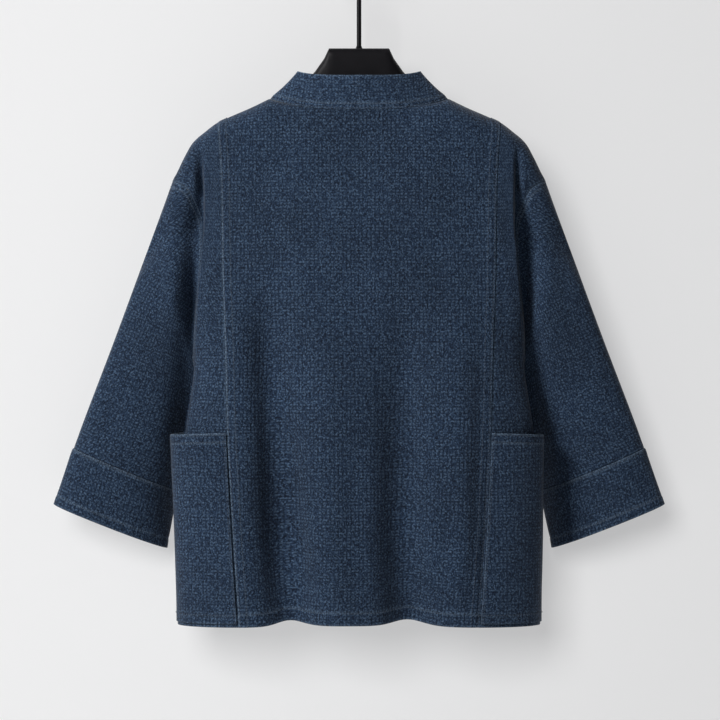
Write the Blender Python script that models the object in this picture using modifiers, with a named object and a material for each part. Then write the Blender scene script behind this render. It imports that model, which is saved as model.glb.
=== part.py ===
"""A kimono jacket that hangs on a moulded hanger, with the front to -Y and the wearer's left to +X.

The jacket is drawn with its hem plane at height 0 and the hanger's plane at depth 0. One empty then
lowers everything, so that the origin is the inside top of the hook, where the hanger hangs.
"""

import math

import bmesh
import bpy
from mathutils import Vector

# Cloth and seams, in metres.
WALL = 0.0018
BAND_WALL = 0.0024
SEAM_GAP = 0.0003
LONG_SEAM_GAP = 0.0006
RIDGE_GAP = 0.0012
BAND_GAP = 0.0006
ARMHOLE_GAP = 0.0012

# Body: half width, depth of the back and of the front, and half the distance between the two seams.
BODY_COLUMNS = ("height", "half_width", "back", "front", "seam")
BODY = (
    (0.000, 0.2255, 0.070, 0.066, 0.1465),
    (0.088, 0.2245, 0.064, 0.061, 0.1530),
    (0.175, 0.2215, 0.059, 0.056, 0.1585),
    (0.235, 0.2180, 0.055, 0.053, 0.1620),
    (0.335, 0.2060, 0.049, 0.048, 0.1650),
    (0.440, 0.2200, 0.044, 0.043, 0.1685),
    (0.553, 0.2400, 0.039, 0.037, 0.1705),
    (0.627, 0.2460, 0.036, 0.034, 0.1750),
    (0.700, 0.2460, 0.034, 0.032, 0.1780),
)
ROUNDNESS = 2.5
SHOULDER_ROUND = 0.024

# Shoulder line, from the neck point out to the top of the armhole.
SHOULDER_COLUMNS = ("across", "height")
SHOULDER = (
    (0.1120, 0.6550),
    (0.1350, 0.6440),
    (0.1550, 0.6355),
    (0.1750, 0.6265),
    (0.1900, 0.6155),
    (0.2075, 0.6000),
    (0.2180, 0.5820),
    (0.2250, 0.5680),
    (0.2330, 0.5525),
)

# Neck, as seen from the back: half width, depth, and the height at the centre and at the side.
NECK_WIDE = 0.1120
NECK_DEEP = 0.0380
NECK_LOW = 0.6380
NECK_HIGH = 0.6550

# Front edge of the front panels, where the band is sewn on.
FRONT_EDGE_COLUMNS = ("height", "across")
FRONT_EDGE = (
    (0.000, 0.062),
    (0.200, 0.057),
    (0.340, 0.054),
    (0.420, 0.059),
    (0.500, 0.074),
    (0.580, 0.093),
    (0.655, 0.112),
)

# Armhole, seen from the back, from the underarm up to the shoulder line.
ARMHOLE_COLUMNS = ("height", "across")
ARMHOLE = (
    (0.335, 0.2060),
    (0.370, 0.2045),
    (0.440, 0.1985),
    (0.500, 0.1965),
    (0.528, 0.2060),
    (0.543, 0.2150),
    (0.5525, 0.2330),
)
UNDERARM = ARMHOLE[0][0]

# The side panel turns in beside the armhole: over this share of its width, by these shares of its
# depth at the front and the back, and fading in down from the shoulder and up from the underarm.
TURN_IN_REACH = 0.16
TURN_IN = {-1: 0.30, 1: 0.70}
TURN_IN_TOP = 0.600
TURN_IN_FADE_TOP = 0.050
TURN_IN_FADE_LOW = 0.090

# Sleeve: where its over-arm and under-arm edges run, and half its thickness.
SLEEVE_COLUMNS = ("along", "over_x", "over_y", "over_z", "under_x", "under_y", "under_z", "thick")
SLEEVE = (
    (0.000, 0.2330, 0.000, 0.5525, 0.2060, 0.000, 0.3350, 0.022),
    (0.050, 0.2402, -0.001, 0.5325, 0.2092, -0.0010, 0.3260, 0.0245),
    (0.125, 0.2515, -0.003, 0.5020, 0.2130, -0.012, 0.3120, 0.028),
    (0.250, 0.2705, -0.008, 0.4520, 0.2155, -0.034, 0.2860, 0.029),
    (0.500, 0.3070, -0.018, 0.3510, 0.2180, -0.056, 0.2330, 0.027),
    (0.750, 0.3440, -0.026, 0.2510, 0.2300, -0.060, 0.1820, 0.025),
    (0.830, 0.3560, -0.028, 0.2190, 0.2350, -0.060, 0.1640, 0.024),
    (1.000, 0.3815, -0.030, 0.1500, 0.2470, -0.060, 0.0940, 0.023),
)
SLEEVE_LONG = 0.40
CUFF_START = 0.83
CUFF_PROUD = 0.0010

# From the armhole, the sleeve's section turns to its own line and fills out over these shares.
SLEEVE_TURNS = 0.32
SLEEVE_FILLS = 0.06

# Neckband: its width and the way it leans from its seam, from the centre back to the hem.
BAND_COLUMNS = ("along", "width", "lean_x", "lean_y", "lean_z")
BAND = (
    (0.00, 0.043, 0.00, -0.10, 0.99),
    (0.16, 0.045, -0.40, -0.20, 0.89),
    (0.28, 0.049, -0.78, -0.05, 0.60),
    (0.36, 0.048, -0.85, -0.10, 0.45),
    (0.48, 0.047, -0.92, -0.12, 0.25),
    (0.64, 0.046, -0.97, -0.08, 0.05),
    (1.00, 0.046, -1.00, -0.06, 0.00),
)

# Folds that run down the body: where each starts and ends, how deep it is at the hem, and half its width.
FOLD_COLUMNS = ("face", "top_x", "top_z", "hem_x", "depth", "half_width")
FOLDS = (
    (1, 0.112, 0.46, 0.080, 0.026, 0.030),
    (1, -0.036, 0.41, -0.064, 0.028, 0.034),
    (1, -0.158, 0.30, -0.166, 0.008, 0.016),
    (-1, 0.100, 0.42, 0.102, 0.015, 0.022),
    (-1, -0.104, 0.38, -0.098, 0.017, 0.021),
)

# Patch pockets: their height, and how far each mouth gapes at its outer corner.
POCKET_HIGH = 0.236
POCKET_LOW = 0.004
POCKET_EDGE = 0.0015
POCKET_HALF_WIDE = 0.125
NORMAL_STEP = 0.004
POCKET_GAPE = {"l": 0.015, "r": 0.010}

# How many faces each piece has round and along it. Neighbours share their rows.
ROWS = 18
UNDERARM_ROW = 7
NECK_FACES = 7
SHOULDER_FACES = 3
FRONT_FACES = 6
SIDE_FACES = 7
SLEEVE_ROWS = 14
SLEEVE_CROWDING = 1.25
CUFF_ROWS = 3
BAND_FACES = 3
POCKET_ROWS = 8
ROW_CROWDING = 1.6

# Hanger: the top and underside of its arms, and half its depth.
HANGER_COLUMNS = ("across", "top", "under", "half_depth", "boxy")
HANGER = (
    (0.0000, 0.7175, 0.6560, 0.0170, 5.0),
    (0.0375, 0.7175, 0.6540, 0.0170, 5.0),
    (0.0435, 0.7050, 0.6520, 0.0165, 4.0),
    (0.0550, 0.6890, 0.6480, 0.0155, 3.0),
    (0.0725, 0.6705, 0.6420, 0.0140, 2.4),
    (0.0920, 0.6570, 0.6330, 0.0130, 2.0),
    (0.1120, 0.6505, 0.6260, 0.0125, 2.0),
    (0.1350, 0.6403, 0.6150, 0.0130, 2.0),
    (0.1550, 0.6320, 0.6050, 0.0135, 2.0),
    (0.1750, 0.6225, 0.5960, 0.0135, 2.0),
    (0.1880, 0.6110, 0.5930, 0.0115, 2.0),
    (0.1950, 0.6040, 0.5960, 0.0070, 2.0),
)
HANGER_SIDES = 16

# Hook: wire, stem and loop.
WIRE_RADIUS = 0.0029
STEM_HIGH = 0.078
LOOP_RADIUS = 0.0240
LOOP_ABOVE_STEM = 0.0300
LOOP_START_DEG = -52
LOOP_END_DEG = 196
LOOP_STEPS = 26

INDIGO = (0.026, 0.036, 0.062)
BLACK_PLASTIC = (0.012, 0.011, 0.013)
BLACK_METAL = (0.020, 0.020, 0.022)

STEM_BASE = HANGER[0][1] + SEAM_GAP
LOOP_CENTRE = STEM_BASE + STEM_HIGH + LOOP_ABOVE_STEM
SADDLE = LOOP_CENTRE + LOOP_RADIUS - WIRE_RADIUS


def read(rows, columns, at, column):
    """The value of a table's column at a place in its first column, on a smooth curve through its rows."""
    k = columns.index(column)
    at = min(max(at, rows[0][0]), rows[-1][0])
    i = max(j for j in range(len(rows) - 1) if rows[j][0] <= at)
    step = rows[i + 1][0] - rows[i][0]

    def slope(j):
        a, b = rows[max(j - 1, 0)], rows[min(j + 1, len(rows) - 1)]
        return (b[k] - a[k]) / (b[0] - a[0])

    t = (at - rows[i][0]) / step
    low, high = rows[i][k], rows[i + 1][k]
    return (
        (1 + 2 * t) * (1 - t) ** 2 * low
        + t * (1 - t) ** 2 * step * slope(i)
        + t * t * (3 - 2 * t) * high
        - t * t * (1 - t) * step * slope(i + 1)
    )


def body(height, column):
    return read(BODY, BODY_COLUMNS, height, column)


def shoulder(across):
    return read(SHOULDER, SHOULDER_COLUMNS, abs(across), "height")


def ease(t):
    """From 0 to 1 with a soft start and end."""
    t = min(max(t, 0.0), 1.0)
    return t * t * (3 - 2 * t)


def rise(v):
    """Heights of the rows of the body's panels as a share of the whole, crowded towards the top."""
    return 1 - (1 - v) ** ROW_CROWDING


def crown(across, height):
    """How full the body's section is at a distance from its middle, 1 at the middle and 0 at the side."""
    share = min(abs(across) / body(height, "half_width"), 1.0)
    return (1 - share**ROUNDNESS) ** (1 / ROUNDNESS)


def fold_at(across, height, face):
    """How far the folds of one face of the body are pressed in at a point."""
    depth = 0.0
    for row in FOLDS:
        fold = dict(zip(FOLD_COLUMNS, row))
        if fold["face"] != face or height > fold["top_z"]:
            continue
        down = 1 - height / fold["top_z"]
        middle = fold["top_x"] + (fold["hem_x"] - fold["top_x"]) * down
        reach = (across - middle) / (fold["half_width"] * (0.75 + 0.25 * down))
        depth += fold["depth"] * down**1.5 * math.exp(-reach * reach)
    return depth


def drape(across, height, fullness, face, top_y, top_z):
    """Depth of the cloth at a point of the body, rounded over towards the line that it hangs from."""
    side = "back" if face > 0 else "front"
    depth = body(height, side) * fullness - fold_at(across, height, face)
    left = 1 - min(max((top_z - height) / SHOULDER_ROUND, 0.0), 1.0)
    return face * (top_y + (depth - top_y) * math.sqrt(1 - left * left))


def panel_point(across, height, face, top_y, top_z):
    return Vector((across, drape(across, height, crown(across, height), face, top_y, top_z), height))


def neck_point(turn):
    """A point of the back neck seam, from the centre back at 0 to the shoulder at a quarter turn."""
    across = NECK_WIDE * math.sin(turn)
    climb = (abs(across) / NECK_WIDE) ** 3
    return Vector((across, NECK_DEEP * math.cos(turn), NECK_LOW + (NECK_HIGH - NECK_LOW) * climb))


def back_point(u, v):
    """The back panel, from its left seam to its right one and from the hem up to the neck and shoulders."""
    faces = NECK_FACES + SHOULDER_FACES
    column = (1 - 2 * u) * faces
    side, count = math.copysign(1, column), abs(column)
    seam_top = body(SHOULDER[3][1], "seam")
    if count <= NECK_FACES:
        top = neck_point(side * count / NECK_FACES * math.pi / 2)
    else:
        across = NECK_WIDE + (seam_top - NECK_WIDE) * (count - NECK_FACES) / SHOULDER_FACES
        top = Vector((side * across, 0.0, shoulder(across)))
    height = top.z * rise(v)
    across = top.x * (body(height, "seam") - LONG_SEAM_GAP / 2) / seam_top
    return panel_point(across, height, 1, max(top.y, RIDGE_GAP / 2), top.z)


def front_edge(height):
    """The front panel's edge at the band: how far it is from the middle."""
    return read(FRONT_EDGE, FRONT_EDGE_COLUMNS, height, "across")


def front_point(u, v):
    """The left front panel, from the band's seam to the side panel's seam and from the hem to the shoulder."""
    seam_top = body(SHOULDER[3][1], "seam")
    top_x = NECK_WIDE + (seam_top - NECK_WIDE) * u
    height = shoulder(top_x) * rise(v)
    inner, outer = front_edge(height) + SEAM_GAP, body(height, "seam") - LONG_SEAM_GAP / 2
    across = inner + (outer - inner) * u
    return panel_point(across, height, -1, RIDGE_GAP / 2, max(shoulder(top_x), height))


def armhole_share(v):
    """How far up the armhole a row of the side panel is, 0 below the underarm and 1 on the shoulder line."""
    low = UNDERARM_ROW / ROWS
    return max(v - low, 0.0) / (1 - low)


def turn_of(across, height):
    """The angle round the body's section of a point at a distance from the middle, 0 at the side."""
    share = min(across / body(height, "half_width"), 1.0)
    return math.acos(share ** (ROUNDNESS / 2))


def side_edge(v):
    """The side panel's outer edge: straight up the side, then along the armhole to the shoulder line."""
    climb = armhole_share(v)
    if climb <= 0:
        height = UNDERARM * rise(v) / rise(UNDERARM_ROW / ROWS)
        return body(height, "half_width"), height
    height = UNDERARM + (ARMHOLE[-1][0] - UNDERARM) * climb
    return read(ARMHOLE, ARMHOLE_COLUMNS, height, "across"), height


def shoulder_bulge(share):
    """How far the shoulder line stands over the straight line from the armhole's top to the side seam's."""
    out, seam = SHOULDER[-1], SHOULDER[3]
    return shoulder(out[0] + (seam[0] - out[0]) * share) - out[1] - (seam[1] - out[1]) * share


def turned_in(depth, towards_seam, height, face):
    """A depth of the side panel's cloth where it turns in beside the armhole."""
    turn = TURN_IN[face] * max(1 - towards_seam / TURN_IN_REACH, 0)
    turn *= ease((TURN_IN_TOP - height) / TURN_IN_FADE_TOP) * ease((height - UNDERARM) / TURN_IN_FADE_LOW)
    return depth - face * max(abs(depth) - RIDGE_GAP / 2, 0) * turn


def side_point(round_it, v, face):
    """The left side panel, from its front seam (-1) round the side (0) to its back seam (1)."""
    towards_seam = abs(round_it)
    seam_z = SHOULDER[3][1] * rise(v)
    seam_x = body(seam_z, "seam") + LONG_SEAM_GAP / 2
    edge_x, edge_z = side_edge(v)
    over = ease(armhole_share(v) * 1.6 - 0.6)
    height = edge_z + (seam_z - edge_z) * towards_seam + shoulder_bulge(towards_seam) * over
    top_x = edge_x + (seam_x - edge_x) * towards_seam
    turn = turn_of(edge_x, edge_z) * (1 - towards_seam) + turn_of(seam_x, seam_z) * towards_seam
    across = body(height, "half_width") * math.cos(turn) ** (2 / ROUNDNESS)
    across += (top_x - across) * over
    top = max(shoulder(across), height)
    depth = drape(across, height, crown(across, height), face, RIDGE_GAP / 2 * over, top)
    if armhole_share(v) > 0:
        depth = turned_in(depth, towards_seam, height, face)
    return Vector((across, depth, height))


def side_panel_point(u, v):
    """The side panel on its grid, whose middle column is the slit of the armhole."""
    line = u * (2 * SIDE_FACES + 1)
    if u < 0.5:
        return side_point((line - SIDE_FACES) / SIDE_FACES, v, -1)
    return side_point((line - SIDE_FACES - 1) / SIDE_FACES, v, 1)


def armhole_point(u):
    """The armhole, from the shoulder line down the back, under the arm and up the front."""
    low = UNDERARM_ROW / ROWS
    across, height = side_edge(low + (1 - low) * abs(1 - 2 * u))
    depth = drape(across, height, crown(across, height), 1, 0.0, max(shoulder(across), height))
    face = 1 if u <= 0.5 else -1
    return Vector((across, turned_in(depth * face, 0.0, height, face), height))


def sleeve_point(u, along, proud=0.0):
    """The left sleeve: round it from the over-arm by the back, and along it from the armhole to the cuff's end."""
    row = {name: read(SLEEVE, SLEEVE_COLUMNS, along, name) for name in SLEEVE_COLUMNS[1:]}
    over = Vector((row["over_x"], row["over_y"], row["over_z"]))
    under = Vector((row["under_x"], row["under_y"], row["under_z"]))
    start_over, start_under = armhole_point(0.0), armhole_point(0.5)
    seam = armhole_point(u)
    chord = start_under - start_over
    share = (seam.z - start_over.z) / chord.z
    bend = seam.x - (start_over.x + chord.x * share)
    blend = ease(along / SLEEVE_TURNS)
    turn = 2 * math.pi * u
    place = (1 - blend) * share + blend * (0.5 - 0.5 * math.cos(turn))
    filled = ease(along / SLEEVE_FILLS)
    depth = (1 - filled) * seam.y / SLEEVE[0][-1] + filled * math.sin(turn)
    axis = (under - over).normalized()
    point = over + (under - over) * place
    point += axis * proud * (2 * place - 1) + Vector(((1 - blend) * bend, 0, 0))
    point.y += depth * (row["thick"] + proud)
    return point


def band_seam(along):
    """The seam of the left half of the band, from the centre back to the shoulder and down the front edge."""
    back_share = NECK_FACES / (NECK_FACES + ROWS)
    if along <= back_share:
        return neck_point(along / back_share * math.pi / 2)
    height = NECK_HIGH * rise(1 - (along - back_share) / (1 - back_share))
    across = front_edge(height)
    return panel_point(across, height, -1, 0.0, NECK_HIGH)


def band_point(u, v):
    """The left half of the band, from its seam (u 0) to its free edge, and from the hem to the centre back."""
    along = 1 - v
    lean = Vector([read(BAND, BAND_COLUMNS, along, name) for name in BAND_COLUMNS[2:]]).normalized()
    width = read(BAND, BAND_COLUMNS, along, "width")
    point = band_seam(along) + lean * (BAND_GAP + (width - BAND_GAP) * u)
    point.x = max(point.x, BAND_GAP)
    return point


def body_wall(round_it, share):
    return side_point(round_it, share, 1 if round_it >= 0 else -1)


def pocket_point(u, v, gape):
    """The left pocket: the side panel's own points, moved out, most of all at the middle of the mouth."""
    round_it = (2 * u - 1) * (1 - POCKET_EDGE / POCKET_HALF_WIDE)
    height = POCKET_LOW + (POCKET_HIGH - POCKET_LOW) * v
    share = 1 - (1 - height / SHOULDER[3][1]) ** (1 / ROW_CROWDING)
    here = body_wall(round_it, share)
    ahead = body_wall(min(round_it + NORMAL_STEP, 1), share)
    behind = body_wall(max(round_it - NORMAL_STEP, -1), share)
    above = body_wall(round_it, share + NORMAL_STEP)
    out = (ahead - behind).cross(above - here).normalized()
    bulge = gape * v**1.6 * math.sin(math.pi * min(max(u, 0), 1)) ** 0.8
    return here + out * (SEAM_GAP + bulge)


def make_material(name, colour, roughness, metallic):
    material = bpy.data.materials.new(name)
    material.use_nodes = True
    shader = material.node_tree.nodes["Principled BSDF"]
    shader.inputs["Base Color"].default_value = (*colour, 1.0)
    shader.inputs["Roughness"].default_value = roughness
    shader.inputs["Metallic"].default_value = metallic
    return material


def add_object(name, mesh, material, collection, place):
    piece = bpy.data.objects.new(name, mesh)
    mesh.materials.append(make_material(material[0] + "_" + name, *material[1:]))
    piece.parent = place
    collection.objects.link(piece)
    return piece


def mapped_grid(columns, rows, point, closed=False, side=1, slit=False):
    """A grid whose points come from a function; a right-hand piece is the mirror image of a left-hand one."""
    grid = bmesh.new()
    bmesh.ops.create_grid(grid, x_segments=columns, y_segments=rows, size=0.5)
    if slit:
        middle = [face for face in grid.faces if abs(face.calc_center_median().x) < 0.25 / columns]
        bmesh.ops.delete(grid, geom=middle, context="FACES")
    for vert in grid.verts:
        u, v = vert.co.x + 0.5, vert.co.y + 0.5
        place = point(u if side > 0 else 1 - u, v)
        vert.co = Vector((place.x * side, place.y, place.z))
    if closed or slit:
        bmesh.ops.remove_doubles(grid, verts=grid.verts, dist=1e-5)
    return grid


def add_cloth(name, columns, rows, point, collection, place, wall=WALL, out=-1, **how):
    """A wall of cloth: its outer face from a function, and its thickness inwards, or outwards on a pocket."""
    grid = mapped_grid(columns, rows, point, **how)
    mesh = bpy.data.meshes.new(name)
    grid.to_mesh(mesh)
    grid.free()
    mesh.shade_smooth()
    piece = add_object(name, mesh, ("indigo_cloth", INDIGO, 0.9, 0.0), collection, place)
    shell = piece.modifiers.new("wall", "SOLIDIFY")
    shell.thickness = wall
    shell.offset = out
    return piece


def add_body_panels(collection, place):
    columns = 2 * (NECK_FACES + SHOULDER_FACES)
    add_cloth("back_panel", columns, ROWS, back_point, collection, place)
    for name, side in (("l", 1), ("r", -1)):
        add_cloth(f"front_panel_{name}", FRONT_FACES, ROWS, front_point, collection, place, side=side)
        round_it = 2 * SIDE_FACES + 1
        add_cloth(
            f"side_panel_{name}", round_it, ROWS, side_panel_point, collection, place, side=side, slit=True
        )


def add_sleeves(collection, place):
    faces = 2 * (ROWS - UNDERARM_ROW)
    start, apart = ARMHOLE_GAP / SLEEVE_LONG, SEAM_GAP / SLEEVE_LONG

    def sleeve(u, v):
        return sleeve_point(u, start + (CUFF_START - apart - start) * (1 - v) ** SLEEVE_CROWDING)

    def cuff(u, v):
        return sleeve_point(u, 1 - (1 - CUFF_START - apart) * v, CUFF_PROUD)

    for name, side in (("l", 1), ("r", -1)):
        add_cloth(f"sleeve_{name}", faces, SLEEVE_ROWS, sleeve, collection, place, closed=True, side=side)
        add_cloth(f"cuff_{name}", faces, CUFF_ROWS, cuff, collection, place, closed=True, side=side)


def add_neckband(collection, place):
    for name, side in (("l", 1), ("r", -1)):
        def half(u, v):
            return band_point(1 - u, v)

        rows = NECK_FACES + ROWS
        add_cloth(f"neckband_{name}", BAND_FACES, rows, half, collection, place, side=side, wall=BAND_WALL)


def add_pockets(collection, place):
    for name, side in (("l", 1), ("r", -1)):
        def pocket(u, v):
            return pocket_point(u, v, POCKET_GAPE[name])

        add_cloth(
            f"pocket_{name}", 2 * SIDE_FACES, POCKET_ROWS, pocket, collection, place, side=side, out=1
        )


def hanger_point(u, v):
    """The hanger's skin: round one section, and along it from its right end to its left one."""
    stations = [-row[0] for row in reversed(HANGER[1:])] + [row[0] for row in HANGER]
    across = stations[round(v * (len(stations) - 1))]
    row = next(row for row in HANGER if row[0] == abs(across))
    top, under, deep, boxy = row[1:]
    turn = 2 * math.pi * (u + 0.5 / HANGER_SIDES)
    power = 2 / boxy
    up = math.copysign(abs(math.sin(turn)) ** power, math.sin(turn))
    depth = math.copysign(abs(math.cos(turn)) ** power, math.cos(turn))
    fill = math.cos(math.pi / HANGER_SIDES) ** power
    middle, half = (top + under) / 2, (top - under) / 2
    return Vector((across, depth * deep / fill, middle + up * half / fill))


def add_hanger_body(collection, place):
    grid = mapped_grid(HANGER_SIDES, 2 * len(HANGER) - 2, hanger_point, closed=True)
    bmesh.ops.holes_fill(grid, edges=[edge for edge in grid.edges if edge.is_boundary], sides=0)
    bmesh.ops.recalc_face_normals(grid, faces=grid.faces)
    mesh = bpy.data.meshes.new("hanger_body")
    grid.to_mesh(mesh)
    grid.free()
    mesh.shade_smooth()
    mesh.set_sharp_from_angle(angle=math.radians(35))
    add_object("hanger_body", mesh, ("black_plastic", BLACK_PLASTIC, 0.32, 0.0), collection, place)


def hook_route():
    """The middle of the wire: up the stem, out to one side and over the loop."""
    stem_top = STEM_BASE + STEM_HIGH
    points = [Vector((0, 0, STEM_BASE + STEM_HIGH * k / 3)) for k in range(4)]
    start = math.radians(LOOP_START_DEG)
    turn_in = Vector((LOOP_RADIUS * math.cos(start), 0, LOOP_CENTRE + LOOP_RADIUS * math.sin(start)))
    pull_up = Vector((0, 0, stem_top + 0.008))
    pull_in = turn_in - Vector((-math.sin(start), 0, math.cos(start))) * 0.008
    for k in range(1, 6):
        t = k / 6
        points.append(
            (1 - t) ** 3 * points[3]
            + 3 * t * (1 - t) ** 2 * pull_up
            + 3 * t * t * (1 - t) * pull_in
            + t**3 * turn_in
        )
    sweep = math.radians(LOOP_END_DEG - LOOP_START_DEG)
    for k in range(LOOP_STEPS + 1):
        turn = start + sweep * k / LOOP_STEPS
        centre = Vector((0, 0, LOOP_CENTRE))
        points.append(centre + LOOP_RADIUS * Vector((math.cos(turn), 0, math.sin(turn))))
    return points


def add_hook(collection, place):
    curve = bpy.data.curves.new("hanger_hook", "CURVE")
    curve.dimensions = "3D"
    curve.bevel_depth = WIRE_RADIUS
    curve.bevel_resolution = 2
    curve.use_fill_caps = True
    route = hook_route()
    spline = curve.splines.new("POLY")
    spline.points.add(len(route) - 1)
    for point, where in zip(spline.points, route):
        point.co = (*where, 1.0)
    add_object("hanger_hook", curve, ("black_metal", BLACK_METAL, 0.3, 0.9), collection, place)


def main():
    for thing in list(bpy.data.objects):
        bpy.data.objects.remove(thing, do_unlink=True)
    collection = bpy.data.collections.new("kimono_jacket_on_hanger")
    bpy.context.scene.collection.children.link(collection)
    place = bpy.data.objects.new("hanging_point", None)
    place.location = (0, 0, -SADDLE)
    collection.objects.link(place)
    add_body_panels(collection, place)
    add_sleeves(collection, place)
    add_neckband(collection, place)
    add_pockets(collection, place)
    add_hanger_body(collection, place)
    add_hook(collection, place)


main()
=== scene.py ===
import math

import bmesh
import bpy
import numpy as np
from mathutils import Matrix, Vector


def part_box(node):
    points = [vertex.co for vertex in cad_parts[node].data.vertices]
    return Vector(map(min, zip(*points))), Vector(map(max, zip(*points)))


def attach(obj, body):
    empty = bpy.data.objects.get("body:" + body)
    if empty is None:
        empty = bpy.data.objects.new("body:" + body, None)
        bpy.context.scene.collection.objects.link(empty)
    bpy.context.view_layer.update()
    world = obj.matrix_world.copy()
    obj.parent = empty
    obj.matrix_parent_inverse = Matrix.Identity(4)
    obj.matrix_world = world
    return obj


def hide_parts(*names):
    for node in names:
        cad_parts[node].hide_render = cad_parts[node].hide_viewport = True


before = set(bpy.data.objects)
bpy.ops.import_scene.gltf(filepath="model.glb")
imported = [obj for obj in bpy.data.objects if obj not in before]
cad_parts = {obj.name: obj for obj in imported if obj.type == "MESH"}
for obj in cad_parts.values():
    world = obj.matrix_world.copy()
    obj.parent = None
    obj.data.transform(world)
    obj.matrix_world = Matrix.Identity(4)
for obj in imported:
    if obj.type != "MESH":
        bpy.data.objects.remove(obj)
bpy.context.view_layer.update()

HEM_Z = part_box("back_panel")[0][2]


# The back: one wide panel of heavy indigo cloth, from the hem up to the neck seam and over the
# shoulders. Its side edges are felled over the side panels with two rows of stitches, and its
# hem is turned up twice. Two deep folds hang from the middle of the back to the hem.

CLOTH = 0.0018
SEAM_GAP = 0.0003
LONG_SEAM_GAP = 0.0006
RIDGE_GAP = 0.0012
ROW_CROWDING = 1.6
ROUNDNESS = 2.5
SHOULDER_ROUND = 0.024
NECK_WIDE, NECK_DEEP = 0.1120, 0.0380
NECK_LOW, NECK_HIGH = 0.6380, 0.6550

BODY_COLUMNS = ("height", "half_width", "back", "front", "seam")
BODY = (
    (0.000, 0.2255, 0.070, 0.066, 0.1465),
    (0.088, 0.2245, 0.064, 0.061, 0.1530),
    (0.175, 0.2215, 0.059, 0.056, 0.1585),
    (0.235, 0.2180, 0.055, 0.053, 0.1620),
    (0.335, 0.2060, 0.049, 0.048, 0.1650),
    (0.440, 0.2200, 0.044, 0.043, 0.1685),
    (0.553, 0.2400, 0.039, 0.037, 0.1705),
    (0.627, 0.2460, 0.036, 0.034, 0.1750),
    (0.700, 0.2460, 0.034, 0.032, 0.1780),
)
SHOULDER_COLUMNS = ("across", "height")
SHOULDER = (
    (0.1120, 0.6550),
    (0.1350, 0.6440),
    (0.1550, 0.6355),
    (0.1750, 0.6265),
    (0.1900, 0.6155),
    (0.2075, 0.6000),
    (0.2180, 0.5820),
    (0.2250, 0.5680),
    (0.2330, 0.5525),
)
# Where the long seams end on the shoulder, and how much of the top edge is the neck's.
SEAM_TOP = SHOULDER[3]
NECK_SHARE = 0.7

# Folds of the body: where each starts and ends, how deep it is at the hem, and half its width.
FOLD_COLUMNS = ("face", "top_x", "top_z", "hem_x", "depth", "half_width")
FOLDS = (
    (1, 0.112, 0.46, 0.080, 0.026, 0.030),
    (1, -0.036, 0.41, -0.064, 0.028, 0.034),
    (1, -0.158, 0.30, -0.166, 0.008, 0.016),
    (-1, 0.100, 0.42, 0.102, 0.015, 0.022),
    (-1, -0.104, 0.38, -0.098, 0.017, 0.021),
)


def named(rows, columns):
    """A table's rows, each with its columns by name."""
    return [dict(zip(columns, row)) for row in rows]


def curve(rows, columns, at, column):
    """A column of a table, read on a smooth curve through its rows."""
    table = np.array(rows)
    places, values = table[:, 0], table[:, columns.index(column)]
    last = len(places) - 1
    before, after = np.maximum(np.arange(last + 1) - 1, 0), np.minimum(np.arange(last + 1) + 1, last)
    slopes = (values[after] - values[before]) / (places[after] - places[before])
    at = np.clip(at, places[0], places[-1])
    i = np.clip(np.searchsorted(places, at, side="right") - 1, 0, last - 1)
    step = places[i + 1] - places[i]
    t = (at - places[i]) / step
    rise_in, rise_out = t * (1 - t) ** 2 * step * slopes[i], t * t * (1 - t) * step * slopes[i + 1]
    return (1 + 2 * t) * (1 - t) ** 2 * values[i] + rise_in + t * t * (3 - 2 * t) * values[i + 1] - rise_out


def body(height, column):
    return curve(BODY, BODY_COLUMNS, height, column)


def shoulder(across):
    return curve(SHOULDER, SHOULDER_COLUMNS, np.abs(across), "height")


def ease(t):
    t = np.clip(t, 0, 1)
    return t * t * (3 - 2 * t)


def rise(v):
    return 1 - (1 - v) ** ROW_CROWDING


def crown(across, height):
    """How full the body's section is at a distance from its middle, 1 there and 0 at the side."""
    share = np.minimum(np.abs(across) / body(height, "half_width"), 1)
    return (1 - share**ROUNDNESS) ** (1 / ROUNDNESS)


def fold_at(across, height, face):
    """How far the folds of one face of the body are pressed in."""
    depth = 0.0
    for fold in named(FOLDS, FOLD_COLUMNS):
        if fold["face"] == face:
            down = np.clip(1 - height / fold["top_z"], 0, None)
            middle = fold["top_x"] + (fold["hem_x"] - fold["top_x"]) * down
            reach = (across - middle) / (fold["half_width"] * (0.75 + 0.25 * down))
            depth = depth + fold["depth"] * down**1.5 * np.exp(-reach * reach)
    return depth


def draped(across, height, face, top_y, top_z):
    """A point of the body's cloth, rounded over towards the line that it hangs from."""
    side = "back" if face > 0 else "front"
    depth = body(height, side) * crown(across, height) - fold_at(across, height, face)
    left = 1 - np.clip((top_z - height) / SHOULDER_ROUND, 0, 1)
    depth = face * (top_y + (depth - top_y) * np.sqrt(1 - left * left))
    return np.stack((across, depth, height), -1)


def neck_line(turn):
    """The neck seam at the back, from the centre back at 0 to the shoulder at a quarter turn."""
    across = NECK_WIDE * np.sin(turn)
    climb = (np.abs(across) / NECK_WIDE) ** 3
    return np.stack((across, NECK_DEEP * np.cos(turn), NECK_LOW + (NECK_HIGH - NECK_LOW) * climb), -1)


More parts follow.
